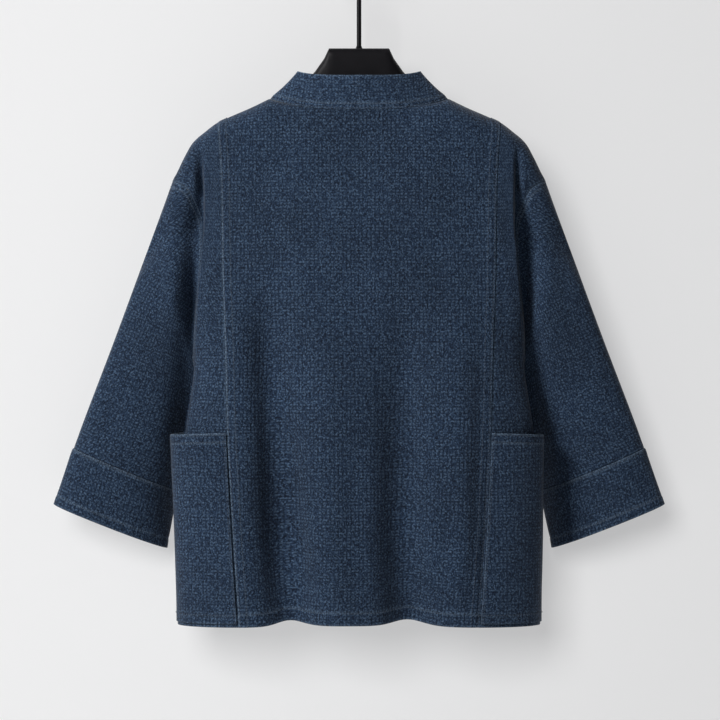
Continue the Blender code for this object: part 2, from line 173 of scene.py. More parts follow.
def back_form(u, v):
    """The back panel's outer face, from its left seam to its right one and from hem to neck."""
    count = np.abs(1 - 2 * u)
    side = np.sign(1 - 2 * u)
    seam_top = body(SEAM_TOP[1], "seam")
    over = np.clip((count - NECK_SHARE) / (1 - NECK_SHARE), 0, 1)
    neck = neck_line(np.minimum(count / NECK_SHARE, 1) * math.pi / 2)
    across = np.where(over > 0, NECK_WIDE + (seam_top - NECK_WIDE) * over, neck[..., 0])
    top_z = np.where(over > 0, shoulder(across), neck[..., 2])
    height = top_z * rise(v)
    here = side * across * (body(height, "seam") - LONG_SEAM_GAP / 2) / seam_top
    return draped(here, height, 1, np.maximum(neck[..., 1], RIDGE_GAP / 2), top_z)


def outward(form, u, v, reach=0.002):
    """The unit normals of a form, from its points a little way off."""
    left, right = np.maximum(u - reach, 0), np.minimum(u + reach, 1)
    low, high = np.maximum(v - reach, 0), np.minimum(v + reach, 1)
    normals = np.cross(form(right, v) - form(left, v), form(u, high) - form(u, low))
    return normals / np.maximum(np.linalg.norm(normals, axis=-1, keepdims=True), 1e-12)


def laid(form, relief, across_at, along_at, samples=160):
    """Lays threads on a form and lifts them by a relief. across_at turns a row's length into its
    threads' distances from the left edge, and along_at has the rows' shares of the height."""
    fine = np.linspace(0, 1, samples + 1)
    rows_u, lengths = [], []
    for v in along_at:
        steps = np.linalg.norm(np.diff(form(fine, np.full(samples + 1, v)), axis=0), axis=1)
        gone = np.concatenate(([0], np.cumsum(steps)))
        rows_u.append(np.interp(across_at(gone[-1]), gone, fine))
        lengths.append(gone[-1])
    u = np.array(rows_u)
    v = np.repeat(np.array(along_at)[:, None], u.shape[1], axis=1)
    points = form(u, v)
    length = np.repeat(np.array(lengths)[:, None], u.shape[1], axis=1)
    place = dict(left=np.array([across_at(one) for one in lengths]), points=points, u=u, v=v)
    place["right"] = length - place["left"]
    place["middle"] = place["left"] - length / 2
    climbed = np.linalg.norm(np.diff(points, axis=0), axis=-1)
    place["up"] = np.concatenate((np.zeros((1, u.shape[1])), np.cumsum(climbed, axis=0)))
    place["down"] = place["up"][-1:] - place["up"]
    normals = outward(form, u, v)
    return place, points + normals * relief(place)[..., None], normals


def even_rows(form, pitch, low=(), high=(), at=0.5):
    """Shares of a form's height for rows at an even pitch, with more at the distances low and high."""
    fine = np.linspace(0, 1, 401)
    steps = np.linalg.norm(np.diff(form(np.full(401, at), fine), axis=0), axis=1)
    gone = np.concatenate(([0], np.cumsum(steps)))
    inner = np.linspace(max(low, default=0), gone[-1] - max(high, default=0), int(gone[-1] / pitch) + 1)
    distances = sorted({*np.round(inner, 6), 0.0, gone[-1], *low, *(gone[-1] - np.array(high))})
    return np.interp(distances, gone, fine)


def crowded(pitch, longest, edge_lines=(), far_lines=()):
    """Distances across a row at an even pitch, with more lines beside its two edges."""
    count = int(longest / pitch) + 1

    def distances(length):
        inner = np.linspace(max(edge_lines, default=0), length - max(far_lines, default=0), count)
        far = length - np.array(sorted(far_lines, reverse=True)[1:])
        near = sorted(edge_lines)[:-1]
        return np.concatenate((near, inner, far))

    return distances


def swell(distance, middle, half_width):
    """A soft ridge across a distance, 1 at its middle."""
    return np.exp(-(((distance - middle) / half_width) ** 2))


def band(distance, edge, softness=0.0009):
    """1 between an edge line and a distance from it, and 0 beyond."""
    return ease((edge + softness - distance) / (2 * softness))


def uneven(x, z, seed, wave):
    """A slow, uneven swell over a plane, about -1 to 1, of one wavelength and its neighbours."""
    turns = np.random.default_rng(seed).uniform(0, 2 * math.pi, 12)
    total = 0.0
    for k in range(6):
        angle = turns[k]
        stretch = 2 * math.pi / (wave * (0.75 + 0.1 * k))
        total = total + np.sin(stretch * (x * math.cos(angle) + 0.6 * z * math.sin(angle)) + turns[k + 6])
    return total / 3


# Creases pressed into the cloth: a line from one point to another, its depth and half width.
CREASE_COLUMNS = ("x", "z", "to_x", "to_z", "depth", "half_width")
BACK_CREASES = (
    (0.020, 0.455, -0.012, 0.300, 0.0022, 0.026),
    (0.124, 0.480, 0.084, 0.010, 0.0124, 0.021),
    (0.120, 0.470, 0.087, 0.020, 0.0088, 0.036),
    (-0.060, 0.440, -0.057, 0.010, 0.0084, 0.021),
    (-0.050, 0.430, -0.046, 0.020, 0.0048, 0.032),
    (0.040, 0.400, 0.022, 0.020, -0.0040, 0.030),
    (-0.120, 0.420, -0.134, 0.020, -0.0050, 0.020),
    (0.010, 0.230, 0.004, 0.000, 0.0026, 0.016),
    (0.130, 0.585, 0.098, 0.440, 0.0016, 0.018),
    (-0.128, 0.590, -0.098, 0.470, 0.0014, 0.018),
    (-0.020, 0.600, 0.030, 0.560, 0.0010, 0.020),
    (-0.110, 0.160, -0.100, 0.015, 0.0016, 0.010),
)


def creased(rows, x, z):
    """How far a table's creases are pressed in at points of a plane."""
    total = 0.0
    for crease in named(rows, CREASE_COLUMNS):
        run_x, run_z = crease["to_x"] - crease["x"], crease["to_z"] - crease["z"]
        long = math.hypot(run_x, run_z)
        along = ((x - crease["x"]) * run_x + (z - crease["z"]) * run_z) / long
        off = ((x - crease["x"]) * run_z - (z - crease["z"]) * run_x) / long
        ends = ease(along / (0.35 * long)) * ease((long - along) / (0.35 * long) + 0.35)
        total = total + crease["depth"] * ends * np.exp(-((off / crease["half_width"]) ** 2))
    return total


# The felled seam and the turned hem: their widths, how proud they lie, and where the stitches
# are. The lines are the distances from an edge at which the cloth's mesh has threads.
FELL_WIDE, FELL_PROUD = 0.0115, 0.0008
FELL_ROWS = (0.0019, 0.0105)
HEM_DEEP, HEM_PROUD, HEM_ROW = 0.0165, 0.0006, 0.0152
STITCH_DIP, DIP_HALF = 0.00035, 0.0011
PUCKER, PUCKER_WAVE, PUCKER_REACH = 0.00028, 0.0135, 0.007
SEAM_LINES = (0.0, 0.0010, 0.0019, 0.0030, 0.0050, 0.0078, 0.0095, 0.0105, 0.0114, 0.0124, 0.0150)
HEM_LINES = (0.0, 0.0012, 0.0035, 0.0075, 0.0115, 0.0140, 0.0152, 0.0164, 0.0176, 0.0210)


def puckered(along, distance, row, seed):
    """Small gathers along a row of stitches."""
    drift = 1.3 * np.sin(along * 71 + seed) + 0.9 * np.sin(along * 173 + 2 * seed)
    wave = np.sin(2 * math.pi * along / PUCKER_WAVE + drift)
    return PUCKER * wave * swell(distance, row, PUCKER_REACH)


def felled(distance, along, seed):
    """The relief of a felled seam beside its edge."""
    lift = FELL_PROUD * band(distance, FELL_WIDE)
    for row in FELL_ROWS:
        lift = lift - STITCH_DIP * swell(distance, row, DIP_HALF)
        lift = lift + 0.6 * puckered(along, distance, row, seed)
    return lift


def hemmed(up, along, seed):
    """The relief of a turned hem above its edge."""
    lift = HEM_PROUD * band(up, HEM_DEEP) - 1.3 * STITCH_DIP * swell(up, HEM_ROW, DIP_HALF)
    return lift + 1.5 * puckered(along, up, HEM_ROW * 0.7, seed)


def still_edges(place, reach=0.030):
    """0 at a piece's edges and 1 within it, so that neighbours meet."""
    inside = np.minimum(place["left"], place["right"])
    return ease(inside / reach) * ease(place["down"] / reach)


def back_relief(place):
    x, z = place["points"][..., 0], place["points"][..., 2]
    free = still_edges(place)
    lift = free * (0.0011 * uneven(x, z, 3, 0.17) + 0.0004 * uneven(x, z, 4, 0.06))
    lift = lift - free * creased(BACK_CREASES, x, z)
    lift = lift + felled(place["left"], z, 1.0) + felled(place["right"], z, 2.0)
    return lift + hemmed(z, x, 3.0)


# How far the hem hangs above its cut line at the back, over how wide a stretch, how far up the
# cloth follows it, and how far behind the side it reaches its full height.
HEM_LIFT_COLUMNS = ("across", "most", "half_width")
HEM_LIFTS = ((0.000, 0.0050, 0.150), (0.086, 0.0050, 0.019), (-0.059, 0.0055, 0.023))
HEM_LIFT_HIGH, HEM_LIFT_DEEP = 0.12, 0.030


def hem_lifted(points):
    """The jacket's points with the hem as it hangs: higher at the back, and most of all in its folds."""
    x, y, z = (points[..., k] for k in range(3))
    rows = named(HEM_LIFTS, HEM_LIFT_COLUMNS)
    lift = sum(row["most"] * swell(x, row["across"], row["half_width"]) for row in rows)
    lift = lift * ease(y / HEM_LIFT_DEEP) * ease((HEM_LIFT_HIGH - z) / HEM_LIFT_HIGH)
    return np.stack([x, y, z + lift], -1)


def mesh_of(made, name):
    """The mesh that a bmesh has built."""
    mesh = bpy.data.meshes.new(name)
    made.to_mesh(mesh)
    made.free()
    return mesh


def placed(name, data):
    """A new object at the origin, in the scene."""
    made = bpy.data.objects.new(name, data)
    bpy.context.scene.collection.objects.link(made)
    return made


def sewn_mesh(name, sheets, side, close=False):
    """Grids of laid threads sewn into one mesh, mirrored for a right-hand piece, with their
    lengths in metres as the UV map, and as an attribute their wear together with the
    painted highlight on the back's left seam."""
    whole = bmesh.new()
    uv_layer = whole.loops.layers.uv.new("threads")
    wear_and_highlight_layer = whole.verts.layers.float.new("worn")
    ply_layer = whole.verts.layers.deform.new()
    for place, points, worn, ply in sheets:
        rows, columns = place["u"].shape
        made = bmesh.ops.create_grid(whole, x_segments=columns - 1, y_segments=rows - 1, size=0.5)
        threads, hung = {}, hem_lifted(points * (side, 1, 1)) + (0, 0, HEM_Z)
        for vert in made["verts"]:
            i, j = round((vert.co.x + 0.5) * (columns - 1)), round((vert.co.y + 0.5) * (rows - 1))
            i = i if side > 0 else columns - 1 - i
            vert.co = hung[j, i]
            vert[wear_and_highlight_layer] = worn[j, i]
            vert[ply_layer][0] = ply[j, i]
            threads[vert] = (place["middle"][j, i] * side, place["up"][j, i])
        for face in {face for vert in made["verts"] for face in vert.link_faces}:
            for loop in face.loops:
                loop[uv_layer].uv = threads[loop.vert]
    if close:
        bmesh.ops.remove_doubles(whole, verts=whole.verts, dist=1e-5)
    for face in whole.faces:
        face.smooth = True
    return mesh_of(whole, name)


def cloth_piece(name, mesh, material, plies=1.0, offset=-1.0):
    """An object for a cloth mesh, with its wall and its softly rounded edges."""
    piece = placed(name, mesh)
    piece.vertex_groups.new(name="plies")
    mesh.materials.append(material)
    wall = piece.modifiers.new("wall", "SOLIDIFY")
    wall.thickness, wall.offset = CLOTH * plies, offset
    wall.vertex_group = "plies"
    rounded = piece.modifiers.new("folded_edge", "BEVEL")
    rounded.width, rounded.segments = 0.0005, 2
    rounded.limit_method, rounded.angle_limit = "ANGLE", math.radians(60)
    return piece


def group_of(name, inputs, outputs):
    """An empty shader node group with named sockets."""
    group = bpy.data.node_groups.new(name, "ShaderNodeTree")
    for label, kind, value in inputs:
        socket = group.interface.new_socket(label, in_out="INPUT", socket_type="NodeSocket" + kind)
        socket.default_value = value
    for label, kind in outputs:
        group.interface.new_socket(label, in_out="OUTPUT", socket_type="NodeSocket" + kind)
    return group, group.nodes.new("NodeGroupInput"), group.nodes.new("NodeGroupOutput")


class Wiring:
    """Short ways to add nodes to a tree and link them."""

    def __init__(self, tree):
        self.tree = tree

    def node(self, kind, **settings):
        made = self.tree.nodes.new("ShaderNode" + kind)
        for key, value in settings.items():
            setattr(made, key, value)
        return made

    def feed(self, socket, value):
        if isinstance(value, bpy.types.NodeSocket):
            self.tree.links.new(value, socket)
        else:
            socket.default_value = value

    def math(self, operation, *values, clamp=False):
        made = self.node("Math", operation=operation, use_clamp=clamp)
        for socket, value in zip(made.inputs, values):
            self.feed(socket, value)
        return made.outputs[0]

    def vector(self, operation, *values):
        made = self.node("VectorMath", operation=operation)
        for socket, value in zip(made.inputs, values):
            self.feed(socket, value)
        return made.outputs[0]

    def mix(self, share, low, high):
        made = self.node("Mix", data_type="RGBA")
        for label, value in (("Factor", share), ("A", low), ("B", high)):
            kind = "Float" if label == "Factor" else "Color"
            socket = next(s for s in made.inputs if s.name == label and s.identifier.endswith(kind))
            self.feed(socket, value)
        return next(s for s in made.outputs if s.identifier.endswith("Color"))

    def remap(self, value, low, high, to_low=0.0, to_high=1.0):
        made = self.node("MapRange", interpolation_type="SMOOTHSTEP")
        for socket, number in zip(made.inputs, (value, low, high, to_low, to_high)):
            self.feed(socket, number)
        return made.outputs[0]

    def noise(self, where, scale, detail=2.0, rough=0.5, output="Fac"):
        made = self.node("TexNoise")
        self.feed(made.inputs["Vector"], where)
        for label, value in (("Scale", scale), ("Detail", detail), ("Roughness", rough)):
            made.inputs[label].default_value = value
        return made.outputs[output]

    def stretched(self, where, scale, turn=0.0):
        made = self.node("Mapping")
        self.feed(made.inputs["Vector"], where)
        made.inputs["Rotation"].default_value = (0.0, 0.0, turn)
        made.inputs["Scale"].default_value = scale
        return made.outputs[0]

    def bump(self, height, distance, strength=1.0):
        made = self.node("Bump")
        self.feed(made.inputs["Height"], height)
        made.inputs["Distance"].default_value = distance
        made.inputs["Strength"].default_value = strength
        return made.outputs[0]


# The weave: how far it wanders, how large a cell's pale float is in shares of a cell, and how
# many dashes, yarns, slubs and faded patches a metre holds.
WANDER_SCALE, WANDER = 45.0, (0.0020, 0.0016, 0.0)
FLOAT_WIDE, FLOAT_HIGH, FLOAT_SHARE = 0.34, 0.30, 0.32
DASHES, DASH_TURN, DASH_STRETCH = 540.0, 0.75, (1.0, 0.45, 1.0)
TWILL_PATCHES, YARNS, FADED_PATCHES = 95.0, 490.0, 9.0
SLUBS, SLUB_STRETCH = 420.0, (1.0, 0.10, 1.0)
FLECK_SHARE = 0.50


def waffle_weave():
    """The jacket's cloth: small pale floats in even rows on an indigo ground, with rough yarns."""
    group, given, result = group_of(
        "waffle_weave",
        (
            ("Threads", "Vector", (0, 0, 0)),
            ("Worn", "Float", 0.0),
            ("Dark", "Color", (0.0010, 0.0045, 0.0145, 1)),
            ("Ground", "Color", (0.0245, 0.049, 0.096, 1)),
            ("Float", "Color", (0.112, 0.178, 0.272, 1)),
            ("Rubbed", "Color", (0.190, 0.270, 0.370, 1)),
            ("Cell Width", "Float", 0.0050),
            ("Cell Height", "Float", 0.0040),
        ),
        (("Color", "Color"), ("Roughness", "Float"), ("Height", "Float")),
    )
    w = Wiring(group)
    threads = given.outputs["Threads"]
    pulled = w.vector("SUBTRACT", w.noise(threads, WANDER_SCALE, output="Color"), (0.5, 0.5, 0.5))
    where = w.vector("ADD", threads, w.vector("MULTIPLY", pulled, WANDER))
    parts = w.node("SeparateXYZ")
    w.feed(parts.inputs[0], where)
    column = w.math("DIVIDE", parts.outputs["X"], given.outputs["Cell Width"])
    row = w.math("DIVIDE", parts.outputs["Y"], given.outputs["Cell Height"])
    cell = w.node("CombineXYZ")
    w.feed(cell.inputs["X"], w.math("FLOOR", column))
    w.feed(cell.inputs["Y"], w.math("FLOOR", row))
    chance = w.node("TexWhiteNoise", noise_dimensions="2D")
    w.feed(chance.inputs["Vector"], cell.outputs[0])
    off_x = w.math("SUBTRACT", w.math("FRACT", column), 0.5)
    off_y = w.math("SUBTRACT", w.math("FRACT", row), 0.5)
    reach = w.math("ADD", w.math("POWER", w.math("DIVIDE", off_x, FLOAT_WIDE), 2.0),
                   w.math("POWER", w.math("DIVIDE", off_y, FLOAT_HIGH), 2.0))
    pale = w.remap(reach, 1.5, 0.1)
    pale = w.math("MULTIPLY", pale, w.remap(chance.outputs["Value"], 0.1, 0.8))
    rib_x = w.math("ABSOLUTE", w.math("SINE", w.math("MULTIPLY", column, math.pi)))
    rib_y = w.math("ABSOLUTE", w.math("SINE", w.math("MULTIPLY", row, math.pi)))
    hollow = w.math("MULTIPLY", rib_x, rib_y)
    rising, falling = (
        w.noise(w.stretched(threads, DASH_STRETCH, turn), DASHES, 1.0) for turn in (DASH_TURN, -DASH_TURN)
    )
    side = w.remap(w.noise(threads, TWILL_PATCHES, 1.0), 0.44, 0.56)
    twill = w.node("Mix", data_type="FLOAT")
    for k, value in ((0, side), (2, rising), (3, falling)):
        w.feed(twill.inputs[k], value)
    yarn = w.noise(threads, YARNS, 1.0)
    slubs = w.noise(w.stretched(threads, SLUB_STRETCH), SLUBS, 2.0, 0.6)
    fade = w.noise(threads, FADED_PATCHES, 3.0, 0.55)
    speckle = w.math("ADD", w.math("MULTIPLY", w.remap(twill.outputs[0], 0.43, 0.57), 0.52),
                     w.math("MULTIPLY", w.remap(yarn, 0.43, 0.57), 0.48))
    tone = w.math("ADD", w.math("MULTIPLY", speckle, 0.86),
                  w.math("MULTIPLY", w.remap(slubs, 0.36, 0.64), 0.14))
    ground = w.mix(tone, given.outputs["Dark"], given.outputs["Ground"])
    cloth = w.mix(w.math("MULTIPLY", pale, FLOAT_SHARE), ground, given.outputs["Float"])
    fleck = w.math("MULTIPLY", w.remap(speckle, 0.72, 0.98), w.remap(yarn, 0.50, 0.68))
    cloth = w.mix(w.math("MULTIPLY", fleck, FLECK_SHARE), cloth, given.outputs["Float"])
    # Paler where the mask is: wear, and on the back's lit left seam a painted highlight.
    rubbed_and_highlight = w.math("MULTIPLY", given.outputs["Worn"], w.remap(speckle, 0.2, 0.8, 0.3, 1.0), clamp=True)
    cloth = w.mix(rubbed_and_highlight, cloth, given.outputs["Rubbed"])
    shade = w.node("HueSaturation")
    w.feed(shade.inputs["Color"], cloth)
    w.feed(shade.inputs["Value"], w.remap(fade, 0.25, 0.75, 0.88, 1.14))
    w.feed(result.inputs["Color"], shade.outputs[0])
    w.feed(result.inputs["Roughness"], w.remap(yarn, 0.2, 0.8, 0.82, 0.98))
    height = w.math("ADD", w.math("MULTIPLY", hollow, 0.55), w.math("MULTIPLY", yarn, 0.30))
    w.feed(result.inputs["Height"], w.math("ADD", height, w.math("MULTIPLY", slubs, 0.15)))
    return group


WAFFLE = waffle_weave()
WEAVE_DEEP, WEAVE_STRENGTH = 0.00055, 0.9


def new_finish(name):
    """A new material, the wiring of its nodes and its shader."""
    material = bpy.data.materials.new(name)
    material.use_nodes = True
    return material, Wiring(material.node_tree), material.node_tree.nodes["Principled BSDF"]


def denim(name, tint=1.0):
    """A material of the jacket's cloth, a little lighter or darker from piece to piece."""
    material, w, shader = new_finish(name)
    threads = w.node("UVMap", uv_map="threads")
    worn = w.node("Attribute", attribute_name="worn")
    weave = w.node("Group", node_tree=WAFFLE)
    w.feed(weave.inputs["Threads"], threads.outputs[0])
    w.feed(weave.inputs["Worn"], worn.outputs["Fac"])
    for label in ("Dark", "Ground", "Float"):
        colour = weave.inputs[label].default_value
        weave.inputs[label].default_value = [part * tint for part in colour[:3]] + [1]
    w.feed(shader.inputs["Base Color"], weave.outputs["Color"])
    w.feed(shader.inputs["Roughness"], weave.outputs["Roughness"])
    w.feed(shader.inputs["Normal"], w.bump(weave.outputs["Height"], WEAVE_DEEP, WEAVE_STRENGTH))
    shader.inputs["Specular IOR Level"].default_value = 0.22
    shader.inputs["Sheen Weight"].default_value = 0.12
    shader.inputs["Sheen Roughness"].default_value = 0.45
    return material


def thread_material():
    """The sewing thread: twisted, indigo grey, a little paler than the cloth."""
    material, w, shader = new_finish("sewing_thread")
    where = w.node("TexCoord").outputs["Object"]
    mottle = w.noise(where, 300.0, 2.0, 0.6)
    w.feed(shader.inputs["Base Color"], w.mix(mottle, (0.026, 0.040, 0.068, 1), (0.105, 0.145, 0.205, 1)))
    twist = w.node("TexWave", bands_direction="DIAGONAL")
    w.feed(twist.inputs["Vector"], where)
    twist.inputs["Scale"].default_value = 900.0
    w.feed(shader.inputs["Normal"], w.bump(twist.outputs["Fac"], 0.0001))
    shader.inputs["Roughness"].default_value = 0.75
    return material


THREAD = thread_material()
STITCH_PITCH, STITCH_LONG, STITCH_THICK = 0.0040, 0.0032, 0.00075


def thread_capsule():
    """One short stitch of thread, as the corners and faces of a small round-ended bar."""
    made = bmesh.new()
    bmesh.ops.create_uvsphere(made, u_segments=6, v_segments=4, radius=1.0)
    corners = np.array([vert.co for vert in made.verts])
    faces = [[vert.index for vert in face.verts] for face in made.faces]
    made.free()
    return corners, faces


def stitch_places(points, normals):
    """The middles of the stitches along a line on the cloth, and the ways they point."""
    steps = np.linalg.norm(np.diff(points, axis=0), axis=1)
    gone = np.concatenate(([0], np.cumsum(steps)))
    middles = np.arange(STITCH_PITCH / 2, gone[-1], STITCH_PITCH)

    def at(distance, values):
        return np.stack([np.interp(distance, gone, values[:, k]) for k in range(3)], -1)

    along = at(middles + STITCH_LONG / 2, points) - at(middles - STITCH_LONG / 2, points)
    along = along / np.linalg.norm(along, axis=1, keepdims=True)
    out = at(middles, normals)
    out = out - along * np.sum(out * along, axis=1, keepdims=True)
    out = out / np.linalg.norm(out, axis=1, keepdims=True)
    sizes = (STITCH_THICK / 2, STITCH_LONG / 2, STITCH_THICK * 0.42)
    turns = np.stack([axis * size for axis, size in zip((np.cross(along, out), along, out), sizes)], 1)
    return at(middles, points) + out * STITCH_THICK * 0.12, turns


def stitches(name, lines, side=1):
    """Rows of stitches as one joined mesh, each stitch half sunk into the cloth."""
    corners, faces = thread_capsule()
    laid_out = [stitch_places(*line) for line in lines]
    middles, turns = (np.concatenate(parts) for parts in zip(*laid_out))
    verts = (np.einsum("ck,nkj->ncj", corners, turns) + middles[:, None, :]).reshape(-1, 3)
    verts = hem_lifted(verts * (side, 1, 1)) + (0, 0, HEM_Z)
    turned = faces if side > 0 else [face[::-1] for face in faces]
    every = [[i + k * len(corners) for i in face] for k in range(len(middles)) for face in turned]
    mesh = bpy.data.meshes.new(name)
    mesh.from_pydata(verts.tolist(), [], every)
    mesh.shade_smooth()
    mesh.materials.append(THREAD)
    piece = placed(name, mesh)
    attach(piece, "root")
    return piece


def row_along(form, relief, distance, from_right=False, low=0.0, high=1.0):
    """A line up a form at a distance from its left or right edge."""
    def across_at(length):
        return np.array([length - distance if from_right else distance])

    _, points, normals = laid(form, relief, across_at, np.linspace(low, high, 160))
    return points[:, 0], normals[:, 0]


def row_across(form, relief, share, samples=200):
    """A line round or across a form at a share of its height."""
    _, points, normals = laid(form, relief, lambda length: np.linspace(0, length, samples), [share, share])
    return points[0], normals[0]


def height_share(height, top=NECK_LOW):
    """The row share at which a panel of the body reaches a height."""
    return 1 - (1 - height / top) ** (1 / ROW_CROWDING)


def wear_and_highlight_edges(place, lines):
    """Paler cloth along lines, for wear and, on the back's left seam, a painted highlight:
    each has a map of distances, its place on it, half width and strength.
    """
    total = np.zeros_like(place["u"])
    for distance, middle, half_width, amount in lines:
        total = np.maximum(total, amount * swell(distance, middle, half_width))
    return total


def worn_hem(height):
    """The hem's two lines of wear: its edge and the ridge over its stitches."""
    return (height, 0.0, 0.0014, 0.30), (height, HEM_ROW + 0.001, 0.0013, 0.25)


MESH_PITCH = 0.0045
HEM_PLIES = 1.45
NECK_LINES = (0.0, 0.002, 0.005, 0.009, 0.014, 0.020)


def hem_plies(height):
    """The wall's thickness as a share of the thickest, which the turned hem has."""
    return (1 + (HEM_PLIES - 1) * band(height, HEM_DEEP)) / HEM_PLIES


rows = even_rows(back_form, MESH_PITCH, low=HEM_LINES, high=NECK_LINES)
place, points, _ = laid(back_form, back_relief, crowded(MESH_PITCH, 0.32, SEAM_LINES, SEAM_LINES), rows)
z = place["points"][..., 2]
# Paler lines of wear along the back's seams and hem. Both lines on the left seam, which faces the light, are
# much paler than on the right: a painted highlight on top of the wear.
worn = wear_and_highlight_edges(place, (
    (place["left"], 0.0004, 0.0006, 1.0), (place["right"], 0.0004, 0.0007, 0.24),
    (place["left"], 0.0105, 0.0010, 0.12), (place["right"], 0.0105, 0.0010, 0.06), *worn_hem(z),
))
mesh = sewn_mesh("back_cloth", [(place, points, worn, hem_plies(z))], 1)
back_cloth = cloth_piece("back_cloth", mesh, denim("indigo_back"), HEM_PLIES)
lines = [row_along(back_form, back_relief, row, right) for row in FELL_ROWS for right in (False, True)]
lines.append(row_across(back_form, back_relief, height_share(HEM_ROW)))
back_stitches = stitches("back_stitches", lines)
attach(back_cloth, "root")
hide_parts("back_panel")


# The two side panels: each runs from the front seam round under the arm to the back seam. Below
# the underarm it is whole, and above it is open along the armhole, front and back apart.

ARMHOLE_COLUMNS = ("height", "across")
ARMHOLE = (
    (0.335, 0.2060),
    (0.370, 0.2045),
    (0.440, 0.1985),
    (0.500, 0.1965),
    (0.528, 0.2060),
    (0.543, 0.2150),
    (0.5525, 0.2330),
)
UNDERARM, ARM_TOP = ARMHOLE[0][0], ARMHOLE[-1][0]
# How far the cloth turns in beside the armhole, at the front (-1) and at the back (1), and the
# fold that it makes there at the back.
TURN_IN_REACH, TURN_IN_STEEP = 0.20, 1.6
TURN_IN = {-1: 0.30, 1: 0.92}
TURN_IN_TOP, TURN_IN_FADE_TOP, TURN_IN_FADE_LOW = 0.552, 0.050, 0.090
ARM_FOLD_COLUMNS = ("height", "across", "depth")
ARM_FOLD = (
    (0.470, 0.1960, 0.000),
    (0.500, 0.1945, 0.012),
    (0.525, 0.1940, 0.015),
    (0.540, 0.1942, 0.015),
    (0.568, 0.1945, 0.008),
    (0.590, 0.1950, 0.002),
    (0.602, 0.1955, 0.000),
)
ARM_FOLD_INNER, ARM_FOLD_OUTER = 0.0038, 0.0110
# The share of the panel's rows that lie below the underarm.
UNDERARM_SHARE = 7 / 18
EDGE_LINES, TOP_LINES = (0.0, 0.002, 0.005), (0.0, 0.003, 0.008, 0.015)
SIDE_CREASES = {
    "l": (
        (0.185, 0.470, 0.190, 0.300, -0.0016, 0.012),
        (0.200, 0.300, 0.205, 0.060, 0.0014, 0.014),
    ),
    "r": (
        (0.184, 0.480, 0.192, 0.330, -0.0014, 0.012),
        (0.206, 0.280, 0.200, 0.030, 0.0016, 0.016),
    ),
}


def armhole_share(v):
    return np.maximum(v - UNDERARM_SHARE, 0) / (1 - UNDERARM_SHARE)


def turn_of(across, height):
    """The angle round the body's section at a distance from the middle, 0 at the side."""
    return np.arccos(np.minimum(across / body(height, "half_width"), 1) ** (ROUNDNESS / 2))


def side_edge(v):
    """The side panel's outer edge: straight up the side, then along the armhole."""
    climb = armhole_share(v)
    low = UNDERARM * rise(v) / rise(UNDERARM_SHARE)
    height = np.where(climb > 0, UNDERARM + (ARM_TOP - UNDERARM) * climb, low)
    across = np.where(
        climb > 0, curve(ARMHOLE, ARMHOLE_COLUMNS, height, "across"), body(height, "half_width")
    )
    return across, height


def turned_in(points, towards, face):
    """The side panel's points where it folds and turns in beside the armhole."""
    across, depth, height = (points[..., k] for k in range(3))
    off = across - curve(ARM_FOLD, ARM_FOLD_COLUMNS, height, "across")
    near = ease(1 - np.abs(off) / np.where(off < 0, ARM_FOLD_INNER, ARM_FOLD_OUTER))
    if face > 0:
        depth = depth - near * curve(ARM_FOLD, ARM_FOLD_COLUMNS, height, "depth")
    turn = TURN_IN[face] * ease(TURN_IN_STEEP * (1 - towards / TURN_IN_REACH))
    turn = turn * ease((TURN_IN_TOP - height) / TURN_IN_FADE_TOP)
    turn = turn * ease((height - UNDERARM) / TURN_IN_FADE_LOW)
    points[..., 1] = depth - face * np.maximum(np.abs(depth) - RIDGE_GAP / 2, 0) * turn
    return points


def side_form(round_it, v, face):
    """The left side panel, from its front seam (-1) round the side (0) to its back seam (1)."""
    towards = np.abs(round_it)
    seam_z = SEAM_TOP[1] * rise(v)
    seam_x = body(seam_z, "seam") + LONG_SEAM_GAP / 2
    edge_x, edge_z = side_edge(v)
    over = ease(armhole_share(v) * 1.6 - 0.6)
    out_x, out_z = SHOULDER[-1]
    bulge = shoulder(out_x + (SEAM_TOP[0] - out_x) * towards) - out_z - (SEAM_TOP[1] - out_z) * towards
    height = edge_z + (seam_z - edge_z) * towards + bulge * over
    top_x = edge_x + (seam_x - edge_x) * towards
    turn = turn_of(edge_x, edge_z) * (1 - towards) + turn_of(seam_x, seam_z) * towards
    across = body(height, "half_width") * np.cos(turn) ** (2 / ROUNDNESS)
    across = across + (top_x - across) * over
    points = draped(across, height, face, RIDGE_GAP / 2 * over, np.maximum(shoulder(across), height))
    return turned_in(points, np.where(armhole_share(v) > 0, towards, 1.0), face)


def front_half(u, v):
    return side_form(u - 1, v, -1)


def back_half(u, v):
    return side_form(u, v, 1)


def side_relief_of(side, half):
    """The relief of one half of a side panel: its creases, seam margin, armhole and hem."""
    def relief(place):
        x, z = place["points"][..., 0], place["points"][..., 2]
        seam, edge = (place["right"], place["left"]) if half > 0 else (place["left"], place["right"])
        above = ease((z - UNDERARM + 0.02) / 0.03)
        free = ease(seam / 0.02) * ease(place["down"] / 0.03) * (1 - above * (1 - ease(edge / 0.02)))
        lift = free * (0.0007 * uneven(place["middle"], z, 11 + ord(side), 0.11))
        if half > 0:
            lift = lift - free * creased(SIDE_CREASES[side], x, z)
        lift = lift - 0.0004 * swell(seam, 0.0015, 0.0022)
        lift = lift + above * puckered(z, edge, 0.006, 7.0 * half)
        return lift + hemmed(z, place["middle"], 5.0 + half)

    return relief


